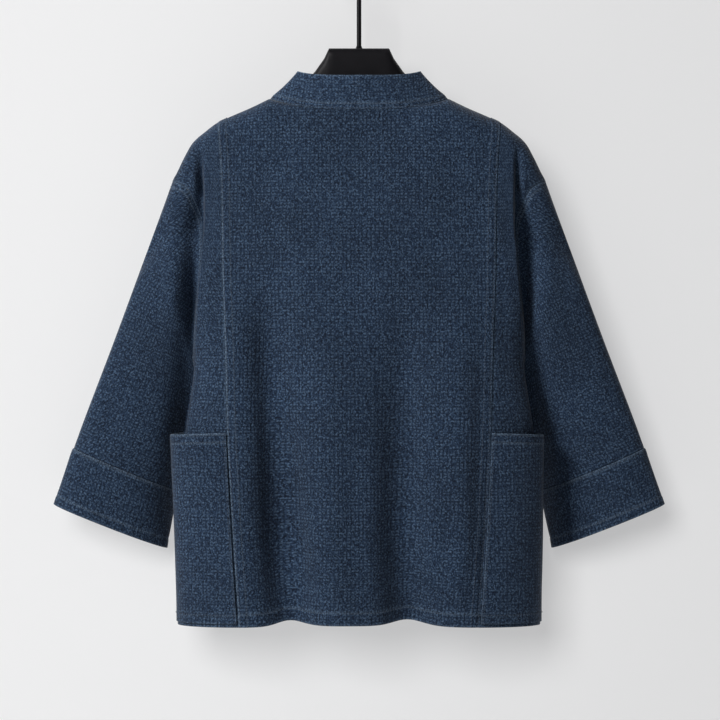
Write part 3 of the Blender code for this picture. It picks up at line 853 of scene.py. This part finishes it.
for side, sign in (("l", 1), ("r", -1)):
    sheets, lines = [], []
    for half, form in ((-1, front_half), (1, back_half)):
        relief = side_relief_of(side, half)
        rows = even_rows(form, MESH_PITCH, low=HEM_LINES, high=TOP_LINES)
        edges = (EDGE_LINES, SEAM_LINES[:7]) if half > 0 else (SEAM_LINES[:7], EDGE_LINES)
        place, points, _ = laid(form, relief, crowded(MESH_PITCH, 0.125, *edges), rows)
        place["middle"] = place["left"] if half > 0 else -place["right"]
        z = place["points"][..., 2]
        seam, edge = (place["right"], place["left"]) if half > 0 else (place["left"], place["right"])
        above = ease((z - UNDERARM) / 0.01)
        worn = wear_and_highlight_edges(place, (
            (seam, 0.0015, 0.0010, 0.12), (edge + 0.1 * (1 - above), 0.0, 0.0015, 0.35), *worn_hem(z),
        ))
        sheets.append((place, points, worn, hem_plies(z)))
        lines.append(row_across(form, relief, height_share(HEM_ROW, SEAM_TOP[1]), 80))
    mesh = sewn_mesh(f"side_cloth_{side}", sheets, sign, close=True)
    cloth = cloth_piece(f"side_cloth_{side}", mesh, denim(f"indigo_side_{side}"), HEM_PLIES)
    sewing = stitches(f"side_stitches_{side}", lines, sign)
    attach(cloth, "root")
    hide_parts(f"side_panel_{side}")


# The two front panels: the narrow strips between the side panels and the neckband, felled over
# the side panels as the back is. They hang open.

FRONT_EDGE_COLUMNS = ("height", "across")
FRONT_EDGE = (
    (0.000, 0.062),
    (0.200, 0.057),
    (0.340, 0.054),
    (0.420, 0.059),
    (0.500, 0.074),
    (0.580, 0.093),
    (0.655, 0.112),
)
FRONT_CREASES = {
    "l": ((0.120, 0.520, 0.100, 0.380, 0.0016, 0.014), (0.085, 0.260, 0.080, 0.030, -0.0022, 0.016)),
    "r": ((0.125, 0.500, 0.105, 0.350, 0.0014, 0.015), (0.128, 0.280, 0.124, 0.020, -0.0020, 0.014)),
}


def front_edge(height):
    return curve(FRONT_EDGE, FRONT_EDGE_COLUMNS, height, "across")


def front_form(u, v):
    """The left front panel, from the band's seam to the side panel's seam."""
    seam_top = body(SEAM_TOP[1], "seam")
    top_x = NECK_WIDE + (seam_top - NECK_WIDE) * u
    height = shoulder(top_x) * rise(v)
    inner, outer = front_edge(height) + SEAM_GAP, body(height, "seam") - LONG_SEAM_GAP / 2
    across = inner + (outer - inner) * u
    return draped(across, height, -1, RIDGE_GAP / 2, np.maximum(shoulder(top_x), height))


def front_relief_of(side):
    def relief(place):
        x, z = place["points"][..., 0], place["points"][..., 2]
        free = still_edges(place, 0.02)
        lift = free * (0.0009 * uneven(x, z, 21 + ord(side), 0.12) - creased(FRONT_CREASES[side], x, z))
        return lift + felled(place["right"], z, 4.0) + hemmed(z, x, 6.0)

    return relief


for side, sign in (("l", 1), ("r", -1)):
    relief = front_relief_of(side)
    rows = even_rows(front_form, MESH_PITCH, low=HEM_LINES, high=TOP_LINES)
    place, points, _ = laid(front_form, relief, crowded(MESH_PITCH, 0.09, EDGE_LINES, SEAM_LINES), rows)
    z = place["points"][..., 2]
    worn = wear_and_highlight_edges(place, (
        (place["right"], 0.0004, 0.0011, 0.6), (place["right"], 0.0105, 0.0012, 0.2), *worn_hem(z),
    ))
    mesh = sewn_mesh(f"front_cloth_{side}", [(place, points, worn, hem_plies(z))], sign)
    cloth = cloth_piece(f"front_cloth_{side}", mesh, denim(f"indigo_front_{side}"), HEM_PLIES)
    lines = [row_along(front_form, relief, row, from_right=True) for row in FELL_ROWS]
    lines.append(row_across(front_form, relief, height_share(HEM_ROW, NECK_HIGH), 80))
    sewing = stitches(f"front_stitches_{side}", lines, sign)
    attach(cloth, "root")
    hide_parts(f"front_panel_{side}")


# The neckband: a doubled strip that stands up round the back of the neck and runs down both
# front edges to the hem. Its halves are joined at the centre back, and a bar of stitches
# strengthens the join. Two rows of stitches hold it to the neck seam.

BAND_CLOTH = 0.0024
BAND_GAP = 0.0006
BAND_COLUMNS = ("along", "width", "lean_x", "lean_y", "lean_z")
BAND = (
    (0.00, 0.043, 0.00, -0.10, 0.99),
    (0.16, 0.045, -0.40, -0.20, 0.89),
    (0.28, 0.049, -0.78, -0.05, 0.60),
    (0.36, 0.048, -0.85, -0.10, 0.45),
    (0.48, 0.047, -0.92, -0.12, 0.25),
    (0.64, 0.046, -0.97, -0.08, 0.05),
    (1.00, 0.046, -1.00, -0.06, 0.00),
)
BACK_SHARE = 7 / 25
BAND_ROWS = (0.0018, 0.0062)
BAND_LINES = (0.0, 0.0009, 0.0018, 0.0028, 0.0040, 0.0052, 0.0062, 0.0072, 0.0090)
BAND_PITCH, BAND_EDGE_LINES = 0.0042, (0.0, 0.0012, 0.003, 0.0045, 0.006)
BAR_ROWS, BAR_FROM = (0.0040, 0.0085, 0.0130), 0.984


def band_seam(along):
    """The left half of the band's seam, from the centre back to the shoulder and down the front."""
    neck = neck_line(np.minimum(along / BACK_SHARE, 1) * math.pi / 2)
    height = NECK_HIGH * rise(np.minimum(1 - (along - BACK_SHARE) / (1 - BACK_SHARE), 1))
    across = front_edge(height)
    front = draped(across, height, -1, 0.0, np.full_like(height, NECK_HIGH))
    return np.where((along <= BACK_SHARE)[..., None], neck, front)


def band_form(u, v):
    """The left half of the band, from its free edge (u 0) to its seam, and from the hem up."""
    along = 1 - v
    lean = np.stack([curve(BAND, BAND_COLUMNS, along, name) for name in BAND_COLUMNS[2:]], -1)
    lean = lean / np.linalg.norm(lean, axis=-1, keepdims=True)
    width = curve(BAND, BAND_COLUMNS, along, "width")
    points = band_seam(along) + lean * (BAND_GAP + (width - BAND_GAP) * (1 - u))[..., None]
    points[..., 0] = np.maximum(points[..., 0], 0)
    return points


def band_relief(place):
    along, seam, edge = place["up"], place["right"], place["left"]
    lift = 0.0003 * ease(seam / 0.006)
    for row in BAND_ROWS:
        lift = lift - STITCH_DIP * swell(seam, row, DIP_HALF) + puckered(along, seam, row, 8.0)
    lift = lift - 0.0002 * swell(edge, 0.0045, 0.0015)
    slow = uneven(along, seam, 31, 0.09) * ease(seam / 0.015) * ease(place["down"] / 0.02)
    return lift + 0.0006 * slow


for side, sign in (("l", 1), ("r", -1)):
    rows = even_rows(band_form, BAND_PITCH, low=EDGE_LINES, high=EDGE_LINES, at=1.0)
    across_at = crowded(BAND_PITCH, 0.05, BAND_EDGE_LINES, BAND_LINES)
    place, points, _ = laid(band_form, band_relief, across_at, rows)
    worn = wear_and_highlight_edges(place, (
        (place["left"], 0.0, 0.0013, 0.45), (place["right"], 0.0, 0.0010, 0.25),
        (place["right"], BAND_ROWS[1] + 0.001, 0.0012, 0.25), (place["down"], 0.0, 0.0010, 0.1),
    ))
    mesh = sewn_mesh(f"band_cloth_{side}", [(place, points, worn, np.ones_like(worn))], sign)
    cloth = cloth_piece(f"band_cloth_{side}", mesh, denim(f"indigo_band_{side}", 1.08), BAND_CLOTH / CLOTH)
    lines = [row_along(band_form, band_relief, row, from_right=True) for row in BAND_ROWS]
    if side == "l":
        lines += [row_along(band_form, band_relief, row, low=BAR_FROM) for row in BAR_ROWS]
    sewing = stitches(f"band_stitches_{side}", lines, sign)
    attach(cloth, "root")
    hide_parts(f"neckband_{side}")


# The two sleeves: wide tubes of one piece each, sewn to the armhole and closed under the arm.
# They hang down past the side panels, with a long soft fold down the inner side.

SLEEVE_COLUMNS = ("along", "over_x", "over_y", "over_z", "under_x", "under_y", "under_z", "thick")
SLEEVE = (
    (0.000, 0.2330, 0.000, 0.5525, 0.2060, 0.000, 0.3350, 0.022),
    (0.050, 0.2402, -0.001, 0.5325, 0.2072, -0.006, 0.3260, 0.0245),
    (0.125, 0.2515, -0.003, 0.5020, 0.2062, -0.018, 0.3120, 0.028),
    (0.250, 0.2705, -0.008, 0.4520, 0.2030, -0.039, 0.2860, 0.029),
    (0.500, 0.3090, -0.018, 0.3510, 0.2050, -0.058, 0.2330, 0.027),
    (0.750, 0.3480, -0.026, 0.2510, 0.2215, -0.061, 0.1820, 0.025),
    (0.830, 0.3600, -0.028, 0.2180, 0.2320, -0.060, 0.1620, 0.024),
    (1.000, 0.3845, -0.030, 0.1465, 0.2475, -0.060, 0.0895, 0.023),
)
SLEEVE_LONG = 0.40
SLEEVE_TURNS, SLEEVE_FILLS = 0.32, 0.21
SLEEVE_BEHIND = 1.22
ARMHOLE_GAP = 0.0002
ARMHOLE_ROW = 0.006
CUFF_START = 0.83
CUFF_PROUD = 0.0010
SLEEVE_PITCH, SLEEVE_AROUND = 0.0048, 97
SLEEVE_LINES = (0.0, 0.0015, 0.004, 0.007, 0.011)
ARMHOLE_LINES = (0.0, 0.002, 0.0045, 0.006, 0.0075, 0.011)
SLEEVE_CREASES = {
    "l": (
        (0.268, 0.470, 0.352, 0.250, -0.0034, 0.020),
        (0.222, 0.500, 0.236, 0.380, -0.0022, 0.012),
        (0.300, 0.300, 0.330, 0.180, 0.0018, 0.014),
    ),
    "r": (
        (0.262, 0.480, 0.338, 0.260, -0.0030, 0.018),
        (0.226, 0.500, 0.240, 0.390, -0.0018, 0.012),
        (0.300, 0.240, 0.322, 0.160, 0.0016, 0.012),
    ),
}
# The long fold down each sleeve's inner side bends both its layers inwards, away from the back.
SLEEVE_FOLD = ((0.188, 0.560, 0.2365, 0.110, 0.0130, 0.017),)
FOLD_STARTS = 0.10


def armhole_line(u):
    """The armhole, from the shoulder line down the back, under the arm and up the front."""
    across, height = side_edge(UNDERARM_SHARE + (1 - UNDERARM_SHARE) * np.abs(1 - 2 * u))
    sides = []
    for face in (1, -1):
        points = draped(across, height, 1, 0.0, np.maximum(shoulder(across), height)) * (1, face, 1)
        sides.append(turned_in(points, 0.0, face))
    return np.where((u <= 0.5)[..., None], *sides)


def tube_form(u, along, proud):
    """The left sleeve's skin: round it from the over-arm by the back, and along it to the cuff."""
    row = {name: curve(SLEEVE, SLEEVE_COLUMNS, along, name) for name in SLEEVE_COLUMNS[1:]}
    over = np.stack([row["over_x"], row["over_y"], row["over_z"]], -1)
    under = np.stack([row["under_x"], row["under_y"], row["under_z"]], -1)
    seam = armhole_line(u)
    start, end = armhole_line(np.zeros(1))[0], armhole_line(np.full(1, 0.5))[0]
    share = (seam[..., 2] - start[2]) / (end[2] - start[2])
    bend = seam[..., 0] - (start[0] + (end[0] - start[0]) * share)
    blend, filled = ease(along / SLEEVE_TURNS), ease(along / SLEEVE_FILLS)
    turn = 2 * math.pi * u
    place = (1 - blend) * share + blend * (0.5 - 0.5 * np.cos(turn))
    full = np.sin(turn) * np.where(u < 0.5, SLEEVE_BEHIND, 1.0)
    depth = (1 - filled) * seam[..., 1] / SLEEVE[0][-1] + filled * full
    axis = (under - over) / np.linalg.norm(under - over, axis=-1, keepdims=True)
    points = over + (under - over) * place[..., None] + axis * (proud * (2 * place - 1))[..., None]
    points[..., 0] += (1 - blend) * bend
    bent = ease(along / FOLD_STARTS) * creased(SLEEVE_FOLD, points[..., 0], points[..., 2])
    points[..., 1] += depth * (row["thick"] + proud) - bent
    return points


def around(columns):
    """Even distances round a tube, from its over-arm line back to it."""
    return lambda length: np.linspace(0, length, columns)


def sleeve_form(u, v):
    start, end = ARMHOLE_GAP / SLEEVE_LONG, CUFF_START - SEAM_GAP / SLEEVE_LONG
    return tube_form(u, end - (end - start) * v, 0.0)


def sleeve_relief_of(side):
    def relief(place):
        x, y, z = (place["points"][..., k] for k in range(3))
        far, near = place["up"], place["down"]
        free = ease(far / 0.03) * ease(near / 0.03)
        behind = ease((place["u"] - 0.02) / 0.06) * ease((0.5 - place["u"]) / 0.06)
        other = ease((place["u"] - 0.52) / 0.06) * ease((0.98 - place["u"]) / 0.06)
        lift = free * behind * (0.0010 * uneven(x, z, 41 + ord(side), 0.13))
        lift = lift + free * other * (0.0010 * uneven(x, z, 43 + ord(side), 0.13))
        lift = lift - free * (behind + 0.8 * other) * creased(SLEEVE_CREASES[side], x, z)
        lift = lift + puckered(place["left"], near, ARMHOLE_ROW, 9.0)
        lift = lift - 0.0003 * swell(near, ARMHOLE_ROW, 0.0014)
        return lift + puckered(place["left"], far, 0.004, 10.0)

    return relief


for side, sign in (("l", 1), ("r", -1)):
    relief = sleeve_relief_of(side)
    rows = even_rows(sleeve_form, SLEEVE_PITCH, low=SLEEVE_LINES, high=ARMHOLE_LINES)
    place, points, _ = laid(sleeve_form, relief, around(SLEEVE_AROUND), rows)
    near = place["down"]
    worn = wear_and_highlight_edges(place, ((near, 0.0, 0.0012, 0.3), (near, ARMHOLE_ROW + 0.0008, 0.0012, 0.3)))
    mesh = sewn_mesh(f"sleeve_cloth_{side}", [(place, points, worn, np.ones_like(worn))], sign, close=True)
    cloth = cloth_piece(f"sleeve_cloth_{side}", mesh, denim(f"indigo_sleeve_{side}"))
    row = row_across(sleeve_form, relief, 1 - ARMHOLE_ROW / (SLEEVE_LONG * 0.8))
    sewing = stitches(f"sleeve_stitches_{side}", [row], sign)
    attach(cloth, "root")
    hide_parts(f"sleeve_{side}")


# The cuffs: broad doubled bands sewn over the sleeves' ends, stitched just below the seam and
# again above the edge.

CUFF_ROWS = (0.0020, 0.0110)
CUFF_LINES = (0.0, 0.0012, 0.0020, 0.0030, 0.0050, 0.0080, 0.0100, 0.0110, 0.0120, 0.0140)
CUFF_AROUND, CUFF_PLIES = 113, 1.2


def cuff_form(u, v):
    start = CUFF_START + SEAM_GAP / SLEEVE_LONG
    return tube_form(u, 1 - (1 - start) * v, CUFF_PROUD)


def cuff_relief_of(side):
    def relief(place):
        far, near, round_it = place["up"], place["down"], place["left"]
        slow = ease(near / 0.015) * uneven(round_it, near, 51 + ord(side), 0.08)
        lift = 0.0005 * ease(near / 0.003) + 0.0006 * slow
        for distance, row in ((near, CUFF_ROWS[0]), (far, CUFF_ROWS[1])):
            lift = lift - STITCH_DIP * swell(distance, row, DIP_HALF)
            lift = lift + 1.6 * puckered(round_it, distance, row, 12.0)
        return lift + 0.0004 * band(far, CUFF_ROWS[1])

    return relief


for side, sign in (("l", 1), ("r", -1)):
    relief = cuff_relief_of(side)
    rows = even_rows(cuff_form, MESH_PITCH, low=CUFF_LINES, high=CUFF_LINES[:6])
    place, points, _ = laid(cuff_form, relief, around(CUFF_AROUND), rows)
    far, near = place["up"], place["down"]
    worn = wear_and_highlight_edges(place, (
        (near, 0.0, 0.0013, 0.5), (near, CUFF_ROWS[0] + 0.001, 0.0012, 0.2),
        (far, 0.0, 0.0013, 0.4), (far, CUFF_ROWS[1] + 0.001, 0.0013, 0.3),
    ))
    mesh = sewn_mesh(f"cuff_cloth_{side}", [(place, points, worn, np.ones_like(worn))], sign, close=True)
    cloth = cloth_piece(f"cuff_cloth_{side}", mesh, denim(f"indigo_cuff_{side}"), CUFF_PLIES)
    deep = place["up"][-1, 0]
    lines = [row_across(cuff_form, relief, share) for share in (CUFF_ROWS[1] / deep, 1 - CUFF_ROWS[0] / deep)]
    sewing = stitches(f"cuff_stitches_{side}", lines, sign)
    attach(cloth, "root")
    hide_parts(f"cuff_{side}")


# The patch pockets: each is as wide as the side panel it is sewn on, from seam to seam, and its
# turned mouth gapes a little at the side.

POCKET_HIGH, POCKET_LOW = 0.239, 0.004
POCKET_EDGE, POCKET_HALF_WIDE = 0.0015, 0.125
NORMAL_STEP = 0.004
POCKET_GAPE = {"l": 0.015, "r": 0.010}
POCKET_ROWS = (0.0025, 0.0105)
MOUTH_LINES = (0.0, 0.0012, 0.0025, 0.0040, 0.0070, 0.0095, 0.0105, 0.0116, 0.0140)
POCKET_EDGE_LINES, POCKET_EDGE_ROW = (0.0, 0.001, 0.0022, 0.005), 0.0025


def body_wall(round_it, share):
    behind = (round_it >= 0)[..., None]
    return np.where(behind, side_form(round_it, share, 1), side_form(round_it, share, -1))


def pocket_form_of(gape):
    def form(u, v):
        """The side panel's own points, moved out, most of all at the middle of the mouth."""
        round_it = (2 * u - 1) * (1 - POCKET_EDGE / POCKET_HALF_WIDE)
        height = POCKET_LOW + (POCKET_HIGH - POCKET_LOW) * v
        share = height_share(height, SEAM_TOP[1])
        here = body_wall(round_it, share)
        ahead = body_wall(np.minimum(round_it + NORMAL_STEP, 1), share)
        behind = body_wall(np.maximum(round_it - NORMAL_STEP, -1), share)
        out = np.cross(ahead - behind, body_wall(round_it, share + NORMAL_STEP) - here)
        out = out / np.linalg.norm(out, axis=-1, keepdims=True)
        bulge = gape * v**1.6 * np.sin(math.pi * np.clip(u, 0, 1)) ** 0.8
        return here + out * (SEAM_GAP + bulge)[..., None]

    return form


def pocket_relief_of(side):
    def relief(place):
        up, top = place["up"], place["down"]
        inside = np.minimum(place["left"], place["right"])
        free = ease(inside / 0.02) * ease(up / 0.02)
        lift = free * 0.0008 * uneven(place["middle"], up, 61 + ord(side), 0.09)
        lift = np.maximum(lift, 0) + HEM_PROUD * band(top, POCKET_ROWS[1])
        for row in POCKET_ROWS:
            lift = lift - STITCH_DIP * 0.6 * swell(top, row, DIP_HALF)
        return lift + np.abs(puckered(place["middle"], top, POCKET_ROWS[1], 14.0)) + 0.0004

    return relief


for side, sign in (("l", 1), ("r", -1)):
    form, relief = pocket_form_of(POCKET_GAPE[side]), pocket_relief_of(side)
    rows = even_rows(form, MESH_PITCH, low=EDGE_LINES, high=MOUTH_LINES)
    across_at = crowded(MESH_PITCH, 0.25, POCKET_EDGE_LINES, POCKET_EDGE_LINES)
    place, points, _ = laid(form, relief, across_at, rows)
    worn = wear_and_highlight_edges(place, (
        (place["down"], 0.0, 0.0016, 0.6), (place["down"], POCKET_ROWS[1] + 0.001, 0.0012, 0.3),
        (place["left"], 0.0, 0.0012, 0.3), (place["right"], 0.0, 0.0012, 0.3),
        (place["up"] + POCKET_LOW, HEM_ROW, 0.0016, 0.35), (place["up"], 0.0, 0.0014, 0.3),
    ))
    mesh = sewn_mesh(f"pocket_cloth_{side}", [(place, points, worn, np.ones_like(worn))], sign)
    cloth = cloth_piece(f"pocket_cloth_{side}", mesh, denim(f"indigo_pocket_{side}", 1.03), offset=1.0)
    high = place["up"][-1, 0]
    shares = (1 - POCKET_ROWS[0] / high, 1 - POCKET_ROWS[1] / high, (HEM_ROW - POCKET_LOW) / high)
    lines = [row_across(form, relief, share) for share in shares]
    lines += [row_along(form, relief, POCKET_EDGE_ROW, right) for right in (False, True)]
    lines = [(line + outs * CLOTH, outs) for line, outs in lines]
    sewing = stitches(f"pocket_stitches_{side}", lines, sign)
    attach(cloth, "root")
    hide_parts(f"pocket_{side}")


# The hanger: a broad black moulding whose flat-topped neck stands out of the collar, and whose
# arms carry the shoulders.

HANGER_COLUMNS = ("across", "top", "under", "half_depth", "boxy")
HANGER = (
    (0.0000, 0.7175, 0.6560, 0.0170, 5.0),
    (0.0375, 0.7175, 0.6540, 0.0170, 5.0),
    (0.0435, 0.7050, 0.6520, 0.0165, 4.0),
    (0.0550, 0.6890, 0.6480, 0.0155, 3.0),
    (0.0725, 0.6705, 0.6420, 0.0140, 2.4),
    (0.0920, 0.6570, 0.6330, 0.0130, 2.0),
    (0.1120, 0.6505, 0.6260, 0.0125, 2.0),
    (0.1350, 0.6403, 0.6150, 0.0130, 2.0),
    (0.1550, 0.6320, 0.6050, 0.0135, 2.0),
    (0.1750, 0.6225, 0.5960, 0.0135, 2.0),
    (0.1880, 0.6110, 0.5930, 0.0115, 2.0),
    (0.1950, 0.6040, 0.5960, 0.0070, 2.0),
)
HANGER_SIDES, HANGER_STATIONS = 40, 6


def hanger_skin():
    """The moulding: rounded-box sections from end to end, with straight stretches between rows."""
    steps = np.arange((len(HANGER) - 1) * HANGER_STATIONS + 1) / HANGER_STATIONS
    half = np.interp(steps, range(len(HANGER)), [row[0] for row in HANGER])
    stations = np.concatenate((-half[:0:-1], half))
    table = dict(zip(HANGER_COLUMNS, np.array(HANGER).T))
    made = bmesh.new()
    bmesh.ops.create_grid(made, x_segments=HANGER_SIDES, y_segments=len(stations) - 1, size=0.5)
    for vert in made.verts:
        across = stations[round((vert.co.y + 0.5) * (len(stations) - 1))]
        here = {name: np.interp(abs(across), table["across"], table[name]) for name in HANGER_COLUMNS[1:]}
        turn, power = 2 * math.pi * (vert.co.x + 0.5), 2 / here["boxy"]
        up = math.copysign(abs(math.sin(turn)) ** power, math.sin(turn))
        out = math.copysign(abs(math.cos(turn)) ** power, math.cos(turn))
        middle, half_high = (here["top"] + here["under"]) / 2, (here["top"] - here["under"]) / 2
        vert.co = (across, out * here["half_depth"], middle + up * half_high + HEM_Z)
    bmesh.ops.remove_doubles(made, verts=made.verts, dist=1e-5)
    bmesh.ops.holes_fill(made, edges=[edge for edge in made.edges if edge.is_boundary], sides=0)
    bmesh.ops.recalc_face_normals(made, faces=made.faces)
    mesh = mesh_of(made, "hanger_moulding")
    mesh.shade_smooth()
    mesh.set_sharp_from_angle(angle=math.radians(32))
    return mesh


def moulded_plastic():
    """Satin black plastic with a faint grain from the mould and fine scuffs."""
    material, w, shader = new_finish("satin_black_plastic")
    where = w.node("TexCoord").outputs["Object"]
    grain, scuffs = w.noise(where, 900.0, 3.0, 0.6), w.noise(where, 60.0, 4.0, 0.65)
    black = w.mix(scuffs, (0.0045, 0.0042, 0.0055, 1), (0.0075, 0.0070, 0.0090, 1))
    w.feed(shader.inputs["Base Color"], black)
    w.feed(shader.inputs["Roughness"], w.remap(scuffs, 0.3, 0.75, 0.46, 0.56))
    w.feed(shader.inputs["Normal"], w.bump(grain, 0.00008))
    shader.inputs["Specular IOR Level"].default_value = 0.16
    return material


mesh = hanger_skin()
mesh.materials.append(moulded_plastic())
moulding = placed("hanger_moulding", mesh)
softened = moulding.modifiers.new("moulded_edge", "BEVEL")
softened.width, softened.segments = 0.0008, 3
softened.limit_method, softened.angle_limit = "ANGLE", math.radians(32)
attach(moulding, "root")
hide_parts("hanger_body")


# The hook: a black wire that stands in a small ferrule on the hanger's neck and bends over into
# an open loop, with a rounded tip.

WIRE_RADIUS, STEM_HIGH = 0.0029, 0.078
LOOP_RADIUS, LOOP_ABOVE_STEM = 0.0240, 0.0300
LOOP_START, LOOP_END = math.radians(-52), math.radians(196)
STEM_BASE = HANGER[0][1] + SEAM_GAP
LOOP_CENTRE = STEM_BASE + STEM_HIGH + LOOP_ABOVE_STEM
BEND_PULL = 0.008
FERRULE_HIGH, FERRULE_WIDE = 0.0035, 0.0046


def hook_route():
    """The middle of the wire: up the stem, out to one side and over the loop."""
    def on_loop(turn):
        return Vector((LOOP_RADIUS * math.cos(turn), 0, LOOP_CENTRE + LOOP_RADIUS * math.sin(turn)))

    points = [Vector((0, 0, STEM_BASE + STEM_HIGH * k / 4)) for k in range(5)]
    turn_in = on_loop(LOOP_START)
    pull_up = points[-1] + Vector((0, 0, BEND_PULL))
    pull_in = turn_in - Vector((-math.sin(LOOP_START), 0, math.cos(LOOP_START))) * BEND_PULL
    for k in range(1, 12):
        t = k / 12
        first = (1 - t) ** 3 * points[4] + 3 * t * (1 - t) ** 2 * pull_up
        points.append(first + 3 * t * t * (1 - t) * pull_in + t**3 * turn_in)
    return points + [on_loop(LOOP_START + (LOOP_END - LOOP_START) * k / 60) for k in range(61)]


def black_metal():
    """Painted wire: satin black, a little uneven."""
    material, w, shader = new_finish("painted_black_wire")
    mottle = w.noise(w.node("TexCoord").outputs["Object"], 350.0, 3.0, 0.6)
    w.feed(shader.inputs["Base Color"], w.mix(mottle, (0.005, 0.005, 0.006, 1), (0.011, 0.011, 0.013, 1)))
    w.feed(shader.inputs["Roughness"], w.remap(mottle, 0.3, 0.7, 0.28, 0.42))
    shader.inputs["Specular IOR Level"].default_value = 0.10
    return material


wire = bpy.data.curves.new("hook_wire", "CURVE")
wire.dimensions = "3D"
wire.bevel_depth, wire.bevel_resolution = WIRE_RADIUS, 6
spline = wire.splines.new("POLY")
route = hook_route()
spline.points.add(len(route) - 1)
for point, where in zip(spline.points, route):
    point.co = (where.x, where.y, where.z + HEM_Z, 1.0)
holder = placed("hook_wire_route", wire)
swept = bpy.data.meshes.new_from_object(holder.evaluated_get(bpy.context.evaluated_depsgraph_get()))
bpy.data.objects.remove(holder, do_unlink=True)
made = bmesh.new()
made.from_mesh(swept)
bmesh.ops.remove_doubles(made, verts=made.verts, dist=1e-6)
tip = route[-1] + Vector((0, 0, HEM_Z))
bmesh.ops.create_uvsphere(made, u_segments=28, v_segments=14, radius=WIRE_RADIUS * 0.999,
                          matrix=Matrix.Translation(tip))
foot = Matrix.Translation((0, 0, HEM_Z + STEM_BASE + FERRULE_HIGH / 2))
bmesh.ops.create_cone(made, cap_ends=True, segments=32, radius1=FERRULE_WIDE, radius2=WIRE_RADIUS * 1.12,
                      depth=FERRULE_HIGH, matrix=foot)
for face in made.faces:
    face.smooth = True
made.to_mesh(swept)
made.free()
swept.set_sharp_from_angle(angle=math.radians(40))
swept.materials.clear()
swept.materials.append(black_metal())
hook = placed("hook_wire", swept)
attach(hook, "root")
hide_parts("hanger_hook")


# The room: a pale wall close behind the jacket, a pale floor well below it, soft light from the
# upper left and weaker fills, and a camera level with the middle of the jacket, at its back.

WALL_Y, FLOOR_Z, ROOM = -0.11, -1.40, 7.0
# Painted light on the wall: its glow at +X, the key light's side, and the dimmer glow at -X.
WALL_LIT_SIDE_GLOW, WALL_SHADED_SIDE_GLOW = (0.468, 0.468, 0.470, 1), (0.382, 0.382, 0.384, 1)
CAMERA_Y, PICTURE_WIDE = 2.6, 0.900
CAMERA_X, CAMERA_UP = -0.0012, 0.329


def pale_paint(name, colour, one_sided):
    """Matte paint. The one-sided kind only shows from its front, and glows a little like a lit screen: the
    glow is painted light on the wall, brighter towards +X, the side the key light comes from, and darker
    towards -X.
    """
    material, w, shader = new_finish(name)
    mottle = w.noise(w.node("TexCoord").outputs["Object"], 2.0, 3.0)
    darker = tuple(part * 0.97 for part in colour) + (1,)
    w.feed(shader.inputs["Base Color"], w.mix(mottle, darker, (*colour, 1)))
    shader.inputs["Roughness"].default_value = 0.95
    shader.inputs["Specular IOR Level"].default_value = 0.1
    if one_sided:
        # Painted light: the glow fades from +X to -X, as the light from the upper left falls off across the
        # wall.
        across = w.node("SeparateXYZ")
        w.feed(across.inputs[0], w.node("TexCoord").outputs["Object"])
        w.feed(shader.inputs["Emission Color"],
               w.mix(w.remap(across.outputs["X"], -0.5, 0.5), WALL_SHADED_SIDE_GLOW, WALL_LIT_SIDE_GLOW))
        shader.inputs["Emission Strength"].default_value = 1.0
        clear, joined = w.node("BsdfTransparent"), w.node("MixShader")
        w.feed(joined.inputs[0], w.node("NewGeometry").outputs["Backfacing"])
        w.tree.links.new(shader.outputs[0], joined.inputs[1])
        w.tree.links.new(clear.outputs[0], joined.inputs[2])
        w.tree.links.new(joined.outputs[0], w.tree.nodes["Material Output"].inputs["Surface"])
    return material


def room_plane(name, turn, place, material):
    made = bmesh.new()
    matrix = Matrix.Translation(place) @ turn
    bmesh.ops.create_grid(made, x_segments=1, y_segments=1, size=ROOM / 2, matrix=matrix)
    mesh = mesh_of(made, name)
    mesh.materials.append(material)
    plane = placed(name, mesh)
    return plane


floor = room_plane("floor", Matrix.Identity(4), (0, 0, FLOOR_Z),
                   pale_paint("pale_floor", (0.80, 0.80, 0.80), False))
wall = room_plane("wall", Matrix.Rotation(-math.pi / 2, 4, "X"), (0, WALL_Y, FLOOR_Z + ROOM / 2),
                  pale_paint("pale_wall", (0.47, 0.47, 0.473), True))

# The soft lights, whether each falls only on the room or only on the jacket and hanger.
LIGHT_COLUMNS = ("name", "x", "y", "z", "size", "power", "on_wall")
LIGHTS = (
    ("key", 2.0, 2.0, 0.95, 1.0, 92.0, False),
    ("wall_light", 1.0, 3.7, 0.55, 1.5, 104.0, True),
    ("front", -1.2, -2.6, 0.8, 2.0, 40.0, False),
)
MIDDLE = Vector((0, 0, HEM_Z + CAMERA_UP))
lit = {True: bpy.data.collections.new("room_lit"), False: bpy.data.collections.new("room_unlit")}
for on_wall, group in lit.items():
    for plane in (floor, wall):
        group.objects.link(plane)
    for entry in group.collection_objects:
        entry.light_linking.link_state = "INCLUDE" if on_wall else "EXCLUDE"
for light in named(LIGHTS, LIGHT_COLUMNS):
    lamp = bpy.data.lights.new(light["name"], "AREA")
    lamp.size, lamp.energy = light["size"], light["power"]
    holder = placed(light["name"], lamp)
    holder.location = (light["x"], light["y"], light["z"])
    holder.rotation_euler = (MIDDLE - holder.location).to_track_quat("-Z", "Y").to_euler()
    holder.light_linking.receiver_collection = lit[light["on_wall"]]

world = bpy.data.worlds.new("studio")
world.use_nodes = True
world.node_tree.nodes["Background"].inputs["Color"].default_value = (0.95, 0.97, 1.0, 1)
world.node_tree.nodes["Background"].inputs["Strength"].default_value = 0.08
bpy.context.scene.world = world
bpy.context.scene.view_settings.view_transform = "Standard"

camera = bpy.data.cameras.new("camera")
camera.lens = camera.sensor_width * CAMERA_Y / PICTURE_WIDE
view = placed("camera", camera)
view.location = (CAMERA_X, CAMERA_Y, HEM_Z + CAMERA_UP)
view.rotation_euler = (math.pi / 2, 0, math.pi)
bpy.context.scene.camera = view
